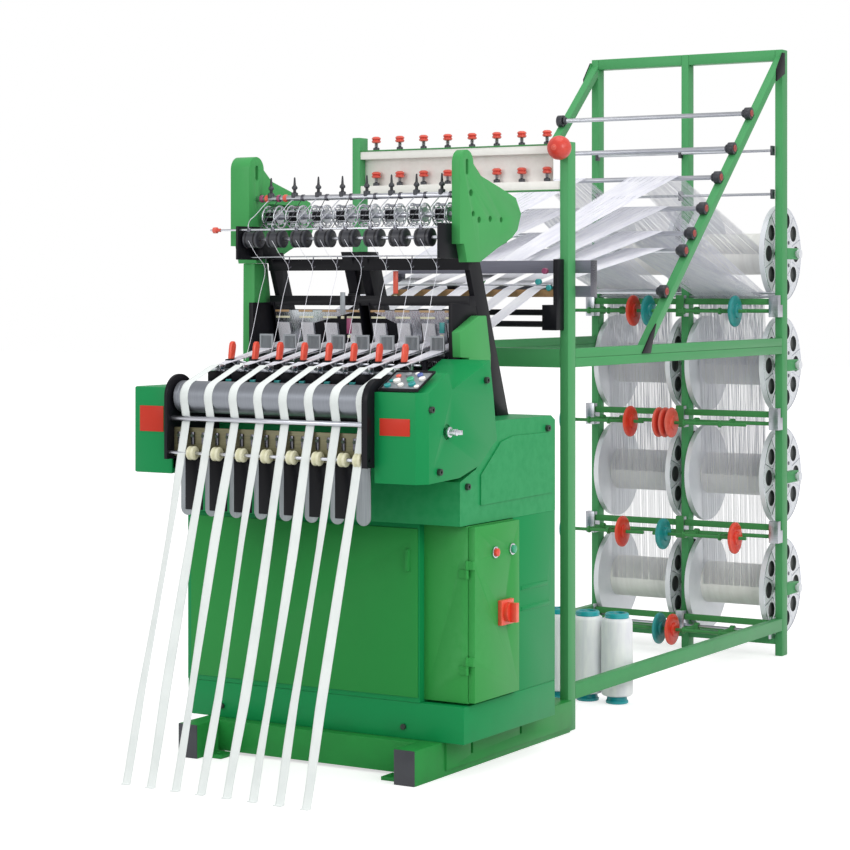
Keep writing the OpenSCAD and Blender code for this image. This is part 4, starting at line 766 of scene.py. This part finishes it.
def weaving_head(piece, x, k):
    """One head: block, breast plate, lever post and lever, needle, guides and screws."""
    piece.block((x - 26, x + 26), (-405, -275), (BED_TOP, HEAD_TOP), "black_metal", 2.0)
    piece.block((x - 16.5, x + 16.5), (-404, -378), (HEAD_TOP, HEAD_TOP + 17.8), "wheel_chrome", 1.2)
    piece.block((x - 20, x + 4), (-331, -297), (HEAD_TOP, HEAD_TOP + 32), "black_metal", 2.0)
    piece.plate("x", x - 14, x - 3, [(-327, 1112), (-307, 1112), (-300, 1140), (-299, 1150), (-304, 1161),
                                     (-312, 1162), (-319, 1157), (-322, 1146)], "red_plastic", 2.5)
    piece.turned((x - 21, -314, 1104), ALONG_X, [(0, 4), (1, 5), (26, 5), (27, 4)], "drawn_steel", 14)
    piece.block((x + 6, x + 14), (-317, -305), (HEAD_TOP, 1108), "drawn_steel", 1.0)
    bend = [math.radians(90 + turn) for turn in range(0, 151, 10)]
    needle = [(x + 10 + 27.5 * math.cos(a), -311 + 27.5 * math.sin(a), 1104) for a in bend]
    piece.wire(needle, 1.8, "wheel_chrome", 8)
    piece.block((x + 6, x + 40), (-314, -308), (1100, 1106), "drawn_steel", 1.2)
    for y, paint in ((-372, "teal_plastic"), (-352, "blue_plastic" if k % 2 else "teal_plastic")):
        piece.block((x - 24, x - 8), (y, y + 14), (HEAD_TOP, HEAD_TOP + 4), paint, 1.0)
        piece.block((x + 6, x + 25), (y + 2, y + 12), (HEAD_TOP, HEAD_TOP + 6), "blade_steel", 1.0)
    for dx in (-20, 20):
        for y in (-392, -284):
            piece.turned((x + dx, y, HEAD_TOP), UP, SCREW, "drawn_steel", 12)
    finger = [(x + 22, -340, HEAD_TOP), (x + 24, -342, 1096), (x + 14, -346, 1104), (x + 2, -350, 1098)]
    piece.wire(curved(finger), 1.0, "drawn_steel")
    piece.plate("x", x - 24, x - 21, [(-296, HEAD_TOP), (-277, HEAD_TOP), (-280, 1100), (-290, 1104)],
                "teal_plastic", 0.8)


heads = Piece("weaving_heads_made", "loom_frame", "weaving_heads")
for k, x in enumerate(HEADS):
    weaving_head(heads, x, k)
for k, x in enumerate(HEADS[:-1]):
    gap = x + 41
    spring_box = "blue_plastic" if k % 2 else "blade_steel"
    heads.block((gap - 9, gap + 9), (-400, -372), (BED_TOP, BED_TOP + 8), "teal_plastic", 1.2)
    heads.block((gap - 9, gap + 9), (-368, -352), (BED_TOP, BED_TOP + 12), spring_box, 1.2)
    heads.turned((gap, -338, BED_TOP), UP, [(0, 7), (10, 7), (12, 5), (20, 5), (22, 3)], "maroon_plastic", 16)
    heads.turned((gap, -315, BED_TOP), UP, [(0, 6), (16, 6), (17, 5)], "drawn_steel", 16)
heads.finish(slot="black_metal")

# %% [markdown]
# ## Harness
# Two leaning black columns and a middle one hold the heald frames. A heald frame is a black metal
# frame with a window for each head, and fine steel healds in the windows. The faces that lie inside
# a window belong to the healds, so they get the bright finish. The frames lean forward, and the
# first one shows its white heald wires and the coloured strips over them.

# %% Harness frames
EYE_Z, WINDOW_HALF = 1152.0, 57.0
FRAME_FOOT = (-34.0, 1078.0)
LEAN = math.tan(math.radians(14))


def leaning_y(z):
    return FRAME_FOOT[0] - (z - FRAME_FOOT[1]) * LEAN


def heald_tint(centre, normal):
    by_head = min(abs(centre.x - head) for head in HEADS) < 24.0
    return "wheel_chrome" if by_head and abs(centre.z - EYE_Z) < WINDOW_HALF else None


for k in range(4):
    frame_piece = dress("harness_frame_%d" % (k + 1), "black_metal", 0.0, tint=heald_tint)
    if k == 0:
        for x in HEADS:
            for z, paint in ((1246, "fibre_tan"), (1228, "cream_plastic")):
                y = leaning_y(z)
                frame_piece.block((x - 24, x + 24), (y - 1.5, y + 2), (z - 3, z + 3), paint, 0.6)
            for n in range(17):
                ends = [(x - 20 + 2.5 * n, leaning_y(z) - 2.5, z) for z in (1120, 1212)]
                frame_piece.wire(ends, 0.95, "heald_white", 6)
    frame_piece.finish(slot="black_metal")

dress("harness_columns", "black_metal", 2.0).finish()


def sley_tint(centre, normal):
    return "blade_steel" if centre.z > 1124.5 else None


dress("reed_sley", "black_metal", 0.6, tint=sley_tint).finish(slot="steel")

# %% [markdown]
# ### Strips and terminals on the columns
# Coloured strips hang beside the middle column: they are cover strips of the pattern control, with
# a pale terminal below each.

# %% Strips
strips = Piece("column_strips", "loom_frame")
STRIPS = ((-44, -92, 1182, 1226, "maroon_plastic"), (-62, -98, 1236, 1300, "blade_steel"),
          (96, -66, 1296, 1360, "red_plastic"), (262, -88, 1186, 1216, "teal_plastic"))
for x, y, low, high, paint in STRIPS:
    strips.block((x - 8, x + 8), (y - 2, y + 1), (low, high), paint, 0.8)
    strips.block((x - 5, x + 5), (y - 3, y + 1), (low - 12, low - 4), "cream_plastic", 1.0)
strips.finish(slot="black_metal")

# %% [markdown]
# ## Gallery over the harness
# Two green arms carry a rail with black spikes, a row of chromed feed wheels, black drums, and thin
# rods with hanging wires. The weft comes down here, so most of these parts are slim, bright and
# turned on a lathe.

# %% Arms
dress("left_arm", "arm_green", 2.5).finish()
dress("right_arm", "arm_green", 2.5).finish()

# %% [markdown]
# ### Rail, spikes and rods
# A rail goes from arm to arm with a turned spike for each head. Below it run two thin rods, from
# which the bent wires hang. A wire is drawn as a few points, and a smooth path goes through them.

# %% Rail, spikes and rods
RAIL_Y, RAIL_Z = -135.0, 1570.0
FRONT_ROD_Y, FRONT_ROD_Z = -232, 1478
HOOK_ROD_Y, HOOK_ROD_Z = -180, 1401
SPIKE = [(0, 8), (1, 10), (14, 10), (16, 7.5), (17, 4.5), (24, 4.5), (26, 8), (31, 8.6), (34, 6.5), (37, 4),
         (58, 2.4), (60, 1)]
gallery = Piece("gallery_rods_made", "loom_frame", "gallery_rails")
gallery.rod((-335, RAIL_Y, RAIL_Z), (344, RAIL_Y, RAIL_Z), 8, "drawn_steel", 24)
for x in HEADS:
    gallery.turned((x + 2, RAIL_Y, RAIL_Z), UP, SPIKE, "black_plastic", 18)
    gallery.turned((x + 28, RAIL_Y, RAIL_Z), ALONG_X, [(0, 9), (1, 10), (8, 10), (9, 9)], "dark_steel", 18)
for k, x in enumerate((-322, -304, -262, -240)):
    gallery.turned((x, RAIL_Y, RAIL_Z), ALONG_X, [(0, 8.5), (3, 11), (9, 11), (12, 8.5)],
                   "knob_red" if k % 2 else "maroon_plastic", 18)
for x0, x1 in ((-335, -327), (336, 344)):
    gallery.block((x0, x1), (-241, -115), (1393, 1489), "black_metal", 2.0)
gallery.block((-327, -287), (-172, -101), (1396, 1449), "black_metal", 2.5)
gallery.rod((-430, FRONT_ROD_Y, FRONT_ROD_Z), (336, FRONT_ROD_Y, FRONT_ROD_Z), 3, "wheel_chrome", 12)
gallery.turned((-419, FRONT_ROD_Y, FRONT_ROD_Z), ALONG_X, [(0, 3), (1, 9), (12, 9), (16, 5), (24, 5)],
               "knob_red", 18)
gallery.rod((-327, HOOK_ROD_Y, HOOK_ROD_Z), (336, HOOK_ROD_Y, HOOK_ROD_Z), 2, "drawn_steel", 10)
for x in HEADS:
    hook = [(x + 15, HOOK_ROD_Y, HOOK_ROD_Z), (x + 15, -181, 1390), (x + 14, -184, 1376),
            (x + 15, -180, 1369), (x + 19, -177, 1373)]
    lead = [(x - 6, FRONT_ROD_Y, FRONT_ROD_Z), (x - 6, -238, 1490), (x - 6, -228, 1506), (x - 4, -206, 1520),
            (x - 2, -168, 1548), (x, RAIL_Y - 6, RAIL_Z - 4)]
    arm = [(x + 24, RAIL_Y, RAIL_Z - 6), (x + 26, -160, 1540), (x + 22, -196, 1500), (x + 20, -226, 1474)]
    gallery.wire(curved(hook), 1.6, "dark_steel")
    gallery.wire(curved(lead), 1.4, "drawn_steel")
    gallery.wire(curved(arm), 1.2, "dark_steel")
    gallery.block((x - 12, x), (-236, -228), (1472, 1484), "dark_steel", 1.5)
gallery.finish(slot="black_metal")

# %% [markdown]
# ### Feed wheels and drums
# A feed wheel is a light cage: two rims with spokes, joined by twelve bars round a black hub. A
# drum is one turned part with two flanges. The cage is made of many thin rods and not of a plate
# with holes, because the real one is nearly see-through.

# %% Feed wheels
WHEEL_Y, WHEEL_Z, CAGE_HALF = -102.0, 1517.0, 20
wheels = Piece("feed_wheels_made", "feed_wheels", "feed_wheels")
low, high = [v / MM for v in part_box("feed_wheels")]
wheels.rod((low.x, WHEEL_Y, WHEEL_Z), (high.x, WHEEL_Y, WHEEL_Z), 8, "drawn_steel", 20)


def polar(x, y, z, radius, angle):
    """A point at a radius and angle round an axis along x."""
    return (x, y + radius * math.cos(angle), z + radius * math.sin(angle))


for x in (head - 10 for head in HEADS):
    for side in (-1, 1):
        rim = x + side * CAGE_HALF
        wheels.ring((rim, WHEEL_Y, WHEEL_Z), ALONG_X, 31.5, 2.5, "wheel_chrome", 48)
        wheels.turned((x + side * 19 - 1.5, WHEEL_Y, WHEEL_Z), ALONG_X, [(0, 12), (0, 22), (3, 22), (3, 12)],
                      "drawn_steel", 24)
        for a in compass(6, 15):
            wheels.rod(polar(rim, WHEEL_Y, WHEEL_Z, 18, a), polar(rim, WHEEL_Y, WHEEL_Z, 31, a),
                       2.2, "wheel_chrome", 8, 0)
    for a in compass(12):
        wheels.rod(polar(x - CAGE_HALF, WHEEL_Y, WHEEL_Z, 29, a),
                   polar(x + CAGE_HALF, WHEEL_Y, WHEEL_Z, 29, a), 1.6, "wheel_chrome", 8, 0)
    wheels.turned((x - 18, WHEEL_Y, WHEEL_Z), ALONG_X,
                  [(0, 8), (0, 15), (4, 17), (32, 17), (36, 15), (36, 8)], "black_metal", 24)
wheels.finish()

# %% Feed drums
DRUM_Y, DRUM_Z = -205.0, 1451.0
DRUM = [(0, 6), (0, 22), (1.5, 25), (6, 25), (7.5, 22.5), (12, 22.5), (13, 24.5), (35, 24.5), (36, 22.5),
        (40, 22.5), (41.5, 25), (46.5, 25), (48, 22), (48, 6)]
drums = Piece("feed_drums_made", "feed_drums", "feed_drums")
low, high = [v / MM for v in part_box("feed_drums")]
drums.rod((low.x, DRUM_Y, DRUM_Z), (high.x, DRUM_Y, DRUM_Z), 5, "drawn_steel", 16)
for head in HEADS:
    drums.turned((head - 34, DRUM_Y, DRUM_Z), ALONG_X, DRUM, "black_plastic", 32)
drums.finish()

# %% [markdown]
# ### Weft yarns
# Eight fine weft yarns leave the drums, run over the front rod, hang in the wire hooks and end in
# the needles. They are thin tubes with a little slack.

# %% Weft yarns
weft = Piece("weft_yarns", "loom_frame")
for x in HEADS:
    slack = [(x - 10, DRUM_Y - 27, DRUM_Z - 4), (x + 4, -216, 1410), (x + 15, -184, 1366),
             (x + 17, -214, 1290), (x + 24, -262, 1180), (x + 34, -308, 1110)]
    weft.wire(curved(slack, 4), 0.7, "warp_thread", 5)
weft.finish()

# %% [markdown]
# ## Rear warp rails and stop motion box
# The parts at the front of the creel have the right form already. The faces are sorted by place:
# the fibre bar is tan, the box is grey, and the rest is black. Three small knobs and the eyelet
# wire are added.

# %% Rear warp rails
BOX_FRONT_Y = 489


def rail_tint(centre, normal):
    if centre.y > BOX_FRONT_Y:
        return "box_grey" if normal.y < -0.5 or normal.z > 0.5 else "dark_steel"
    in_bar = 403 < centre.y < 429 and 1284 < centre.z < 1308 and abs(centre.x) < 352.5
    return "fibre_tan" if in_bar else None


rails = dress("rear_warp_rails", "black_metal", 1.5, tint=rail_tint)
for x, z, paint in ((300, 1330, "teal_plastic"), (322, 1362, "maroon_plastic"), (336, 1312, "teal_plastic")):
    rails.turned((x, 398, z), ALONG_Y, [(0, 6), (2, 9), (14, 9), (16, 6)], paint, 18)
rails.rod((-312, 405, 1321), (345, 405, 1321), 3, "drawn_steel", 10)
rails.finish(slot="black_metal")

# %% [markdown]
# ## Creel
# Welded square tube in a lighter green than the body. The joints keep a thin dark line where two
# tubes meet, which the rounded edges give. The gussets on the outer sides are black.

# %% Creel frame and diagonals
POST_OUTER_X = 380.3
dress("creel_frame", "creel_green", 2.0, clamp=False).finish()


def diagonal_tint(centre, normal):
    return "black_metal" if abs(centre.x) > POST_OUTER_X else None


dress("creel_diagonals", "creel_green", 1.5, tint=diagonal_tint).finish(slot="green_paint")

# %% [markdown]
# ### Guide rods
# Bright rods lie on the two diagonals, each in a black holder with a red end. Their places all
# follow from the line of the diagonals, so one function gives the height for a place along it.

# %% Guide rods
DIAGONAL_FOOT, DIAGONAL_SLOPE = (966, 1132), 1002 / 1116
ROD_Y = (1813, 1670, 1555, 1435, 1340, 1276, 1128)


def rod_z(y):
    return DIAGONAL_FOOT[1] + (y - DIAGONAL_FOOT[0]) * DIAGONAL_SLOPE + 23


def rod_tint(centre, normal):
    across = abs(centre.x)
    clamped = centre.y > 2050 and (across < 24 or across > 341)
    return "black_plastic" if across > 353.5 or clamped else None


rods = dress("guide_rods", "drawn_steel", 0.8, tint=rod_tint)
for y in ROD_Y:
    for side in (-1, 1):
        rods.turned((side * 376, y, rod_z(y)), (side, 0, 0), [(0, 12), (3, 12), (5, 9), (6, 6)],
                    "holder_red", 18)
        rods.turned((side * 350, y, rod_z(y)), (-side, 0, 0), [(0, 15), (4, 14), (8, 9)], "black_plastic", 18)
rods.finish(slot="steel")

# %% [markdown]
# ### Rack with its tensioners
# The cream rack between the front posts carries two rows of yarn tensioners. Each is a red knob
# over a small coil spring, on a black foot, and the last knob is a large red ball on the post.

# %% Rack with its tensioners
RACK_Y, BALL_R = 458, 36
rack = dress("weft_rack", "panel_cream", 1.0)
for z in (1602.5, 1738.5):
    rack.block((-352, 352), (444, 479), (z - 3, z + 1.5), "bar_green", 0.8)
rack.finish(slot="dark_green_paint")
TENSIONER = [(0, 4), (0, 10), (2, 13.5), (6, 14.5), (9, 12), (10.5, 12), (13, 14.5), (17, 13), (20, 8),
             (20, 0)]
knobs = Piece("rack_knobs_made", "loom_frame", "rack_knobs")
for z in (1738, 1629):
    for k in range(8):
        x = (k - 3.5) * 86
        knobs.turned((x, RACK_Y, z), UP, [(0, 10), (8, 10), (10, 8), (11, 4), (24, 4)], "black_plastic", 18)
        knobs.turned((x, RACK_Y, z + 24), UP, TENSIONER, "knob_red", 24)
        for lift in range(4):
            knobs.ring((x, RACK_Y, z + 13 + 3 * lift), UP, 5.4, 0.9, "drawn_steel", 20, 6)
ball = [(-BALL_R, 0)] + [(-BALL_R * math.cos(a), BALL_R * math.sin(a))
                         for a in (math.radians(9 * k) for k in range(1, 20))]
knobs.turned((366, 412, 1725), ALONG_Y, [p for p in ball if p[0] < 29], "knob_red", 40)
knobs.turned((366, 412 - BALL_R - 0.2, 1725), ALONG_Y, [(0, 6), (1.5, 9)], "knob_red", 24)
knobs.finish(slot="red_plastic")

# %% [markdown]
# ## Weft cones
# A spool stands on a teal base and ends in a teal cap. The yarn lies a little fuller in the middle
# than at its ends, and the cap has a rim and a hollow.

# %% Weft cones
CONE_Y = 950
CONE_PARTS = (
    (0, [(0, 34), (1.5, 36), (8, 36), (10, 33), (20, 31), (26, 31)], "cap_teal", 40),
    (24, [(0, 30), (1, 44), (4, 48.5), (12, 50), (120, 50), (232, 49), (241, 46.5), (245, 42), (245, 30)],
     "cone_yarn", 56),
    (268, [(0, 34), (2, 38), (13, 38), (17, 35), (17, 28), (11, 26), (11, 8), (15, 7), (15, 0)],
     "cap_teal", 40))
cones = Piece("weft_cones_made", "loom_frame", "weft_cones")
for k in range(6):
    for z, profile, paint, sides in CONE_PARTS:
        cones.turned((288 - 104 * k, CONE_Y, z), UP, profile, paint, sides)
cones.finish()

# %% [markdown]
# ## Warp beams
# A cast flange has ten pockets in its outer face, between a rim and a hub, and this openwork
# catches the light. The pockets' floors are painted dark as painted shade, chrome rings along the
# rim and round the hub are painted highlights, and the yarn between the flanges is wound thread.

# %% Warp beams
BEAM_Y = 2215.0
BEAM_Z = (1434.0, 1033.0, 632.0, 231.0)
RIM_R, HUB_R = 171.5, 90
FACES_X = {0: (18.0, 326.0), 1: (-349.0, -41.0)}


def beam_part(low, high):
    return "warp_yarn" if high.y - low.y < 200 else "beam_alloy"


for number in range(1, 9):
    node = "warp_beam_%d" % number
    middle, faces_x = BEAM_Z[(number - 1) // 2], FACES_X[number % 2]

    # Faces inside a pocket take the dark grey: painted shade in the pocket.
    def pocket(centre, normal, middle=middle, faces_x=faces_x):
        reach = math.hypot(centre.y - BEAM_Y, centre.z - middle)
        deep = min(abs(centre.x - faces_x[0]), abs(centre.x - faces_x[1]))
        return "pocket_shade_grey" if HUB_R < reach < 162 and 1.0 < deep < 9.6 else None

    beam = dress(node, "beam_alloy", 0.0, choose=beam_part, tint=pocket)
    for face, out in ((faces_x[0], -1), (faces_x[1], 1)):
        # The chrome rings at the rim and round the hub are painted highlights on the flange.
        beam.ring((face, BEAM_Y, middle), ALONG_X, RIM_R, 2.2, "wheel_chrome", 72, 6)
        beam.ring((face, BEAM_Y, middle), ALONG_X, HUB_R, 2.0, "wheel_chrome", 48, 6)
        beam.turned((face, BEAM_Y, middle), (out, 0, 0), [(0, 52), (1.6, 50), (1.8, 30), (0.2, 28)],
                    "beam_alloy", 40)
        for spoke, bolt in zip(compass(10, 18), compass(10)):
            beam.rod(polar(face, BEAM_Y, middle, 96, spoke), polar(face, BEAM_Y, middle, 168, spoke),
                     2.4, "wheel_chrome", 8, 0)
            beam.turned(polar(face, BEAM_Y, middle, 70, bolt), (out, 0, 0), [(-2, 7), (1.6, 7), (1.8, 4)],
                        "dark_steel", 12)
    beam.finish(slot="beam_alloy")

# %% [markdown]
# ## Let-off
# Under each beam a weighted lever keeps the warp tight. The levers' bars and arms are dressed, and
# the weights are turned anew with a raised hub and rounded edges. Their colours tell them apart.

# %% Let-off rods
BEAM_STEP = BEAM_Z[0] - BEAM_Z[1]


def let_off_tint(centre, normal):
    green = centre.y < 2059 and (centre.z - 86) % BEAM_STEP > 20 and abs(centre.x) < 351
    return "bar_green" if green else None


dress("let_off_rods", "drawn_steel", 0.8, tint=let_off_tint).finish(slot="steel")

# %% [markdown]
# ### Levers and weights
# Each lever carries one to three weights. The dressing step hands over the places and sizes of the
# weights it leaves out, so the turned ones land exactly there.

# %% Levers and weights
ROD_PART_X = 100
WEIGHT_PAINT = {1: ("teal", "red", "teal"), 2: ("teal",), 3: ("teal", "red"), 4: ("salmon",) * 3,
                5: ("teal", "red"), 6: ("teal", "red"), 7: ("teal",), 8: ("red",)}
PAINT_OF = {"teal": "teal_plastic", "red": "red_plastic", "salmon": "salmon_plastic"}


def weight_profile(w, r):
    """Half of the outline up to the rim, and the same again in reverse."""
    half = [(0, 7), (0, 20), (1, 24), (w * 0.22, 26), (w * 0.24, r - 12), (w * 0.28, r - 6),
            (w * 0.36, r - 1), (w * 0.44, r)]
    return half + [(w - t, radius) for t, radius in reversed(half)]


for number in range(1, 9):
    found = []

    def is_weight(low, high):
        if high.x - low.x < ROD_PART_X:
            found.append((low.x, high.x, (low.y + high.y) / 2, (low.z + high.z) / 2, (high.z - low.z) / 2))
            return True
        return False

    lever = dress("let_off_lever_%d" % number, "bar_green", 1.0, skip=is_weight)
    for colour, (x0, x1, y, z, r) in zip(WEIGHT_PAINT[number], sorted(found)):
        lever.turned((x0, y, z), ALONG_X, weight_profile(x1 - x0, r), PAINT_OF[colour], 48)
    print("lever", number, [tuple(round(v) for v in f) for f in found])
    lever.finish(slot="lever_paint")

# %% [markdown]
# ## Warp
# Each beam gives about a hundred yarns. They leave the beam as a wide sheet, turn over a rod at the
# beam's level, pass over one of the guide rods, and gather into the 46 mm of one head at the rear
# rails. From there they run through the healds and the reed to the breast plate. Each yarn is a
# thin three-sided tube, so the sheet is see-through as the real one is.

# %% Warp yarns
SHEET_W, NARROW_W, YARNS = 256.0, 46.0, 96
BEAM_FRONT_Y, TURN_ROD_Y = 2139.3, 2094
TURN_RODS = ((2088, 1268), (2094, 1280), (2100, 1292))
LEVEL_RODS = (1276, 1340, 1435, 1555)
FIBRE_BAR, HARNESS_BACK = (403.5, 1308.6), (32, 1168)
SHED_Y, REED, BREAST = -52, (-155, 1136), (-379, 1098.4)
random.seed(7)
for level in range(4):
    for side, middle in ((-1, -195.0), (1, 172.0)):
        head = HEADS[3 - level if side < 0 else 7 - level]
        guide = LEVEL_RODS[level]
        reach = (guide - FIBRE_BAR[0]) / (TURN_ROD_Y - FIBRE_BAR[0])
        name = "warp_%s_%d" % ("left" if side < 0 else "right", level + 1)
        sheet = Piece(name, "loom_frame", "warp_sheets")
        for k in range(YARNS):
            t = (k + 0.5 + random.uniform(-0.3, 0.3)) / YARNS - 0.5
            if (k * 7 + level * 3) % 23 in (0, 1):
                continue
            wide, narrow = middle + t * SHEET_W, head + t * NARROW_W
            path = [(wide, BEAM_FRONT_Y, BEAM_Z[3 - level])]
            if level < 3:
                y, z = TURN_RODS[level]
                path += [(wide, y + 6.6, z), (wide, y + 4.8, z + 4.8)]
            lift = 6.0 if k % 2 else -6.0
            path += [(narrow + (wide - narrow) * reach, guide, rod_z(guide) + 9.4), (narrow, *FIBRE_BAR),
                     (narrow, *HARNESS_BACK), (narrow, SHED_Y, EYE_Z + lift),
                     (narrow, REED[0], REED[1] + lift * 0.5), (head + t * 27, *BREAST)]
            sheet.wire(path, 0.62, "warp_thread", 3)
        sheet.finish(smooth=180, slot="warp_yarn")

# %% [markdown]
# ## Tapes
# A finished tape leaves the breast plate, passes round the take-off roller, and goes down to the
# floor in front of the machine. It is a thin closed strip, 27 mm wide, with slightly uneven edges,
# a light twist on its way down, and its own flat coordinates for the weave.

# %% Tape path
TAPE_W, TAPE_T = 27.0, 1.0
AROUND = [(ROLLER_Y + 44.6 * math.cos(math.radians(a)), ROLLER_Z + 44.6 * math.sin(math.radians(a)))
          for a in [110.5 + 83.0 * k / 15 for k in range(16)]]
DOWN = [(-537.2, 955.4), (-537.5, 952.8), (-799.5, 2.6), (-802.0, 0.8), (-813.0, 0.7)]


def tape_path(spread):
    """Points (y, z) down one tape, one every few centimetres."""
    rough = [(-380.0, 1098.6), (-404.0, 1098.6)] + AROUND + DOWN[:2]
    y0, z0 = DOWN[1]
    y1, z1 = DOWN[2]
    for k in range(1, 24):
        t = k / 24
        sag = math.sin(math.pi * t) * spread
        rough.append((y0 + (y1 - y0) * t + sag, z0 + (z1 - z0) * t))
    return rough + DOWN[2:]


def woven_tape(number, x):
    """Builds one tape and returns its flat length in mm."""
    points = tape_path(4.0 + 3.0 * math.sin(number * 1.7))
    run, length = [0.0], 0.0
    for a, b in zip(points, points[1:]):
        length += math.dist(a, b)
        run.append(length)
    across = 6
    mesh, rows = bmesh.new(), []
    flat = mesh.loops.layers.uv.new("flat")
    for k, (y, z) in enumerate(points):
        before, after = points[max(k - 1, 0)], points[min(k + 1, len(points) - 1)]
        along = Vector((0, after[0] - before[0], after[1] - before[1])).normalized()
        out = Vector((1, 0, 0)).cross(along)
        free = max(0.0, min(1.0, (run[k] - 330) / 250)) * max(0.0, min(1.0, (length - 60 - run[k]) / 200))
        twist = free * 0.35 * math.sin(run[k] / 260 + number * 2.1)
        drift = free * 5.0 * math.sin(run[k] / 330 + number)
        side = Vector((math.cos(twist), 0, 0)) + out * math.sin(twist)
        face = side.cross(along).normalized()
        row = []
        for s in (1, -1):
            for j in range(across + 1):
                u = (j / across - 0.5) * s
                edge = TAPE_T / 2 * (0.55 if j in (0, across) else 1.0)
                point = Vector((x + drift, y, z)) + side * (u * TAPE_W) + face * (edge * s)
                row.append((mesh.verts.new(point), u * TAPE_W))
        rows.append(row)
    count = len(rows[0])
    for k in range(len(rows) - 1):
        for j in range(count):
            n = (j + 1) % count
            corners = [(rows[k][j], run[k]), (rows[k][n], run[k]),
                       (rows[k + 1][n], run[k + 1]), (rows[k + 1][j], run[k + 1])]
            made = mesh.faces.new([c[0][0] for c in corners])
            for loop, c in zip(made.loops, corners):
                loop[flat].uv = (c[0][1] * MM, c[1] * MM)
    mesh.faces.new([v for v, u in rows[0]])
    mesh.faces.new([v for v, u in rows[-1]])
    bmesh.ops.recalc_face_normals(mesh, faces=mesh.faces)
    data = bpy.data.meshes.new("woven_tape")
    mesh.to_mesh(data)
    mesh.free()
    data.transform(Matrix.Scale(MM, 4))
    data.materials.append(FINISHES["tape_weave"])
    data.shade_smooth()
    tape = bpy.data.objects.new("woven_tape_%d" % number, data)
    bpy.context.scene.collection.objects.link(tape)
    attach(tape, "loom_frame")
    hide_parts("woven_tapes")
    return length


for number, x in enumerate(HEADS, 1):
    print("tape", number, "is", round(woven_tape(number, x)), "mm long")

# %% [markdown]
# ## Floor and light
# The floor is plain and pale, and the world behind it is white for the lens and for reflections,
# while it lights the scene only softly. One large lamp from the operator's right is the key, a
# second one beside it reaches into the creel, a smaller one fills the cloth side, and a broad one
# above lightens the top faces.

# %% Floor
def stage_plane(name, size):
    mesh = bpy.data.meshes.new(name)
    corners = [(-size, -size, 0), (size, -size, 0), (size, size, 0), (-size, size, 0)]
    mesh.from_pydata(corners, [], [(0, 1, 2, 3)])
    thing = bpy.data.objects.new(name, mesh)
    bpy.context.scene.collection.objects.link(thing)
    return thing


floor = stage_plane("floor", 30.0)
floor.location.z = -0.0005
floor_material = bpy.data.materials.new("pale_floor")
floor_material.use_nodes = True
tree = floor_material.node_tree
net = Network(tree)
surface = tree.nodes["Principled BSDF"]
surface.inputs["Base Color"].default_value = (0.62, 0.62, 0.62, 1)
surface.inputs["Roughness"].default_value = 0.9
glow = net.add("ShaderNodeEmission", (1, 1, 1, 1), 0.62)
paths = net.add("ShaderNodeLightPath")
seen = net.maths("MAXIMUM", paths.outputs["Is Camera Ray"],
                 net.maths("MAXIMUM", paths.outputs["Is Glossy Ray"], paths.outputs["Is Transmission Ray"]))
glow_seen = net.add("ShaderNodeMixShader", seen)
tree.links.new(glow.outputs[0], glow_seen.inputs[2])
both = net.add("ShaderNodeAddShader")
tree.links.new(surface.outputs[0], both.inputs[0])
tree.links.new(glow_seen.outputs[0], both.inputs[1])
tree.links.new(both.outputs[0], tree.nodes["Material Output"].inputs["Surface"])
floor.data.materials.append(floor_material)
print("floor laid")

# %% [markdown]
# ### World and lamps
# A strength of one is plain white to the lens, so the backdrop needs no extra light. What the world
# gives to the machine itself is a little less, and the lamps are large, so shadows stay soft.

# %% World and lamps
world = bpy.data.worlds.new("studio")
bpy.context.scene.world = world
world.use_nodes = True
tree = world.node_tree
net = Network(tree)
back = tree.nodes["Background"]
paths = net.add("ShaderNodeLightPath")
seen = net.maths("MAXIMUM", paths.outputs["Is Camera Ray"], paths.outputs["Is Transmission Ray"])
mirrored = net.ramp(paths.outputs["Is Glossy Ray"], 0.0, 1.0, 0.86, 0.7)
back.inputs["Color"].default_value = (1, 1, 1, 1)
tree.links.new(net.maths("MAXIMUM", seen, mirrored), back.inputs["Strength"])


def lamp(name, place, aim, size, power):
    data = bpy.data.lights.new(name, "AREA")
    data.shape, data.size, data.energy = "DISK", size, power
    thing = bpy.data.objects.new(name, data)
    thing.location = place
    thing.rotation_euler = (Vector(aim) - Vector(place)).to_track_quat("-Z", "Y").to_euler()
    bpy.context.scene.collection.objects.link(thing)


lamp("key", (4.6, 0.6, 3.4), (0, 0.4, 1.0), 2.4, 16.0)
lamp("creel_side", (3.4, -1.2, 2.4), (0, 2.2, 1.0), 1.8, 40.0)
lamp("cloth_side", (-1.4, -4.2, 2.6), (0, -0.4, 0.9), 2.0, 38.0)
lamp("top", (0.4, 0.4, 5.0), (0, 0.6, 1.0), 3.0, 42.0)
bpy.context.scene.view_settings.view_transform = "Standard"
print("lamps set")
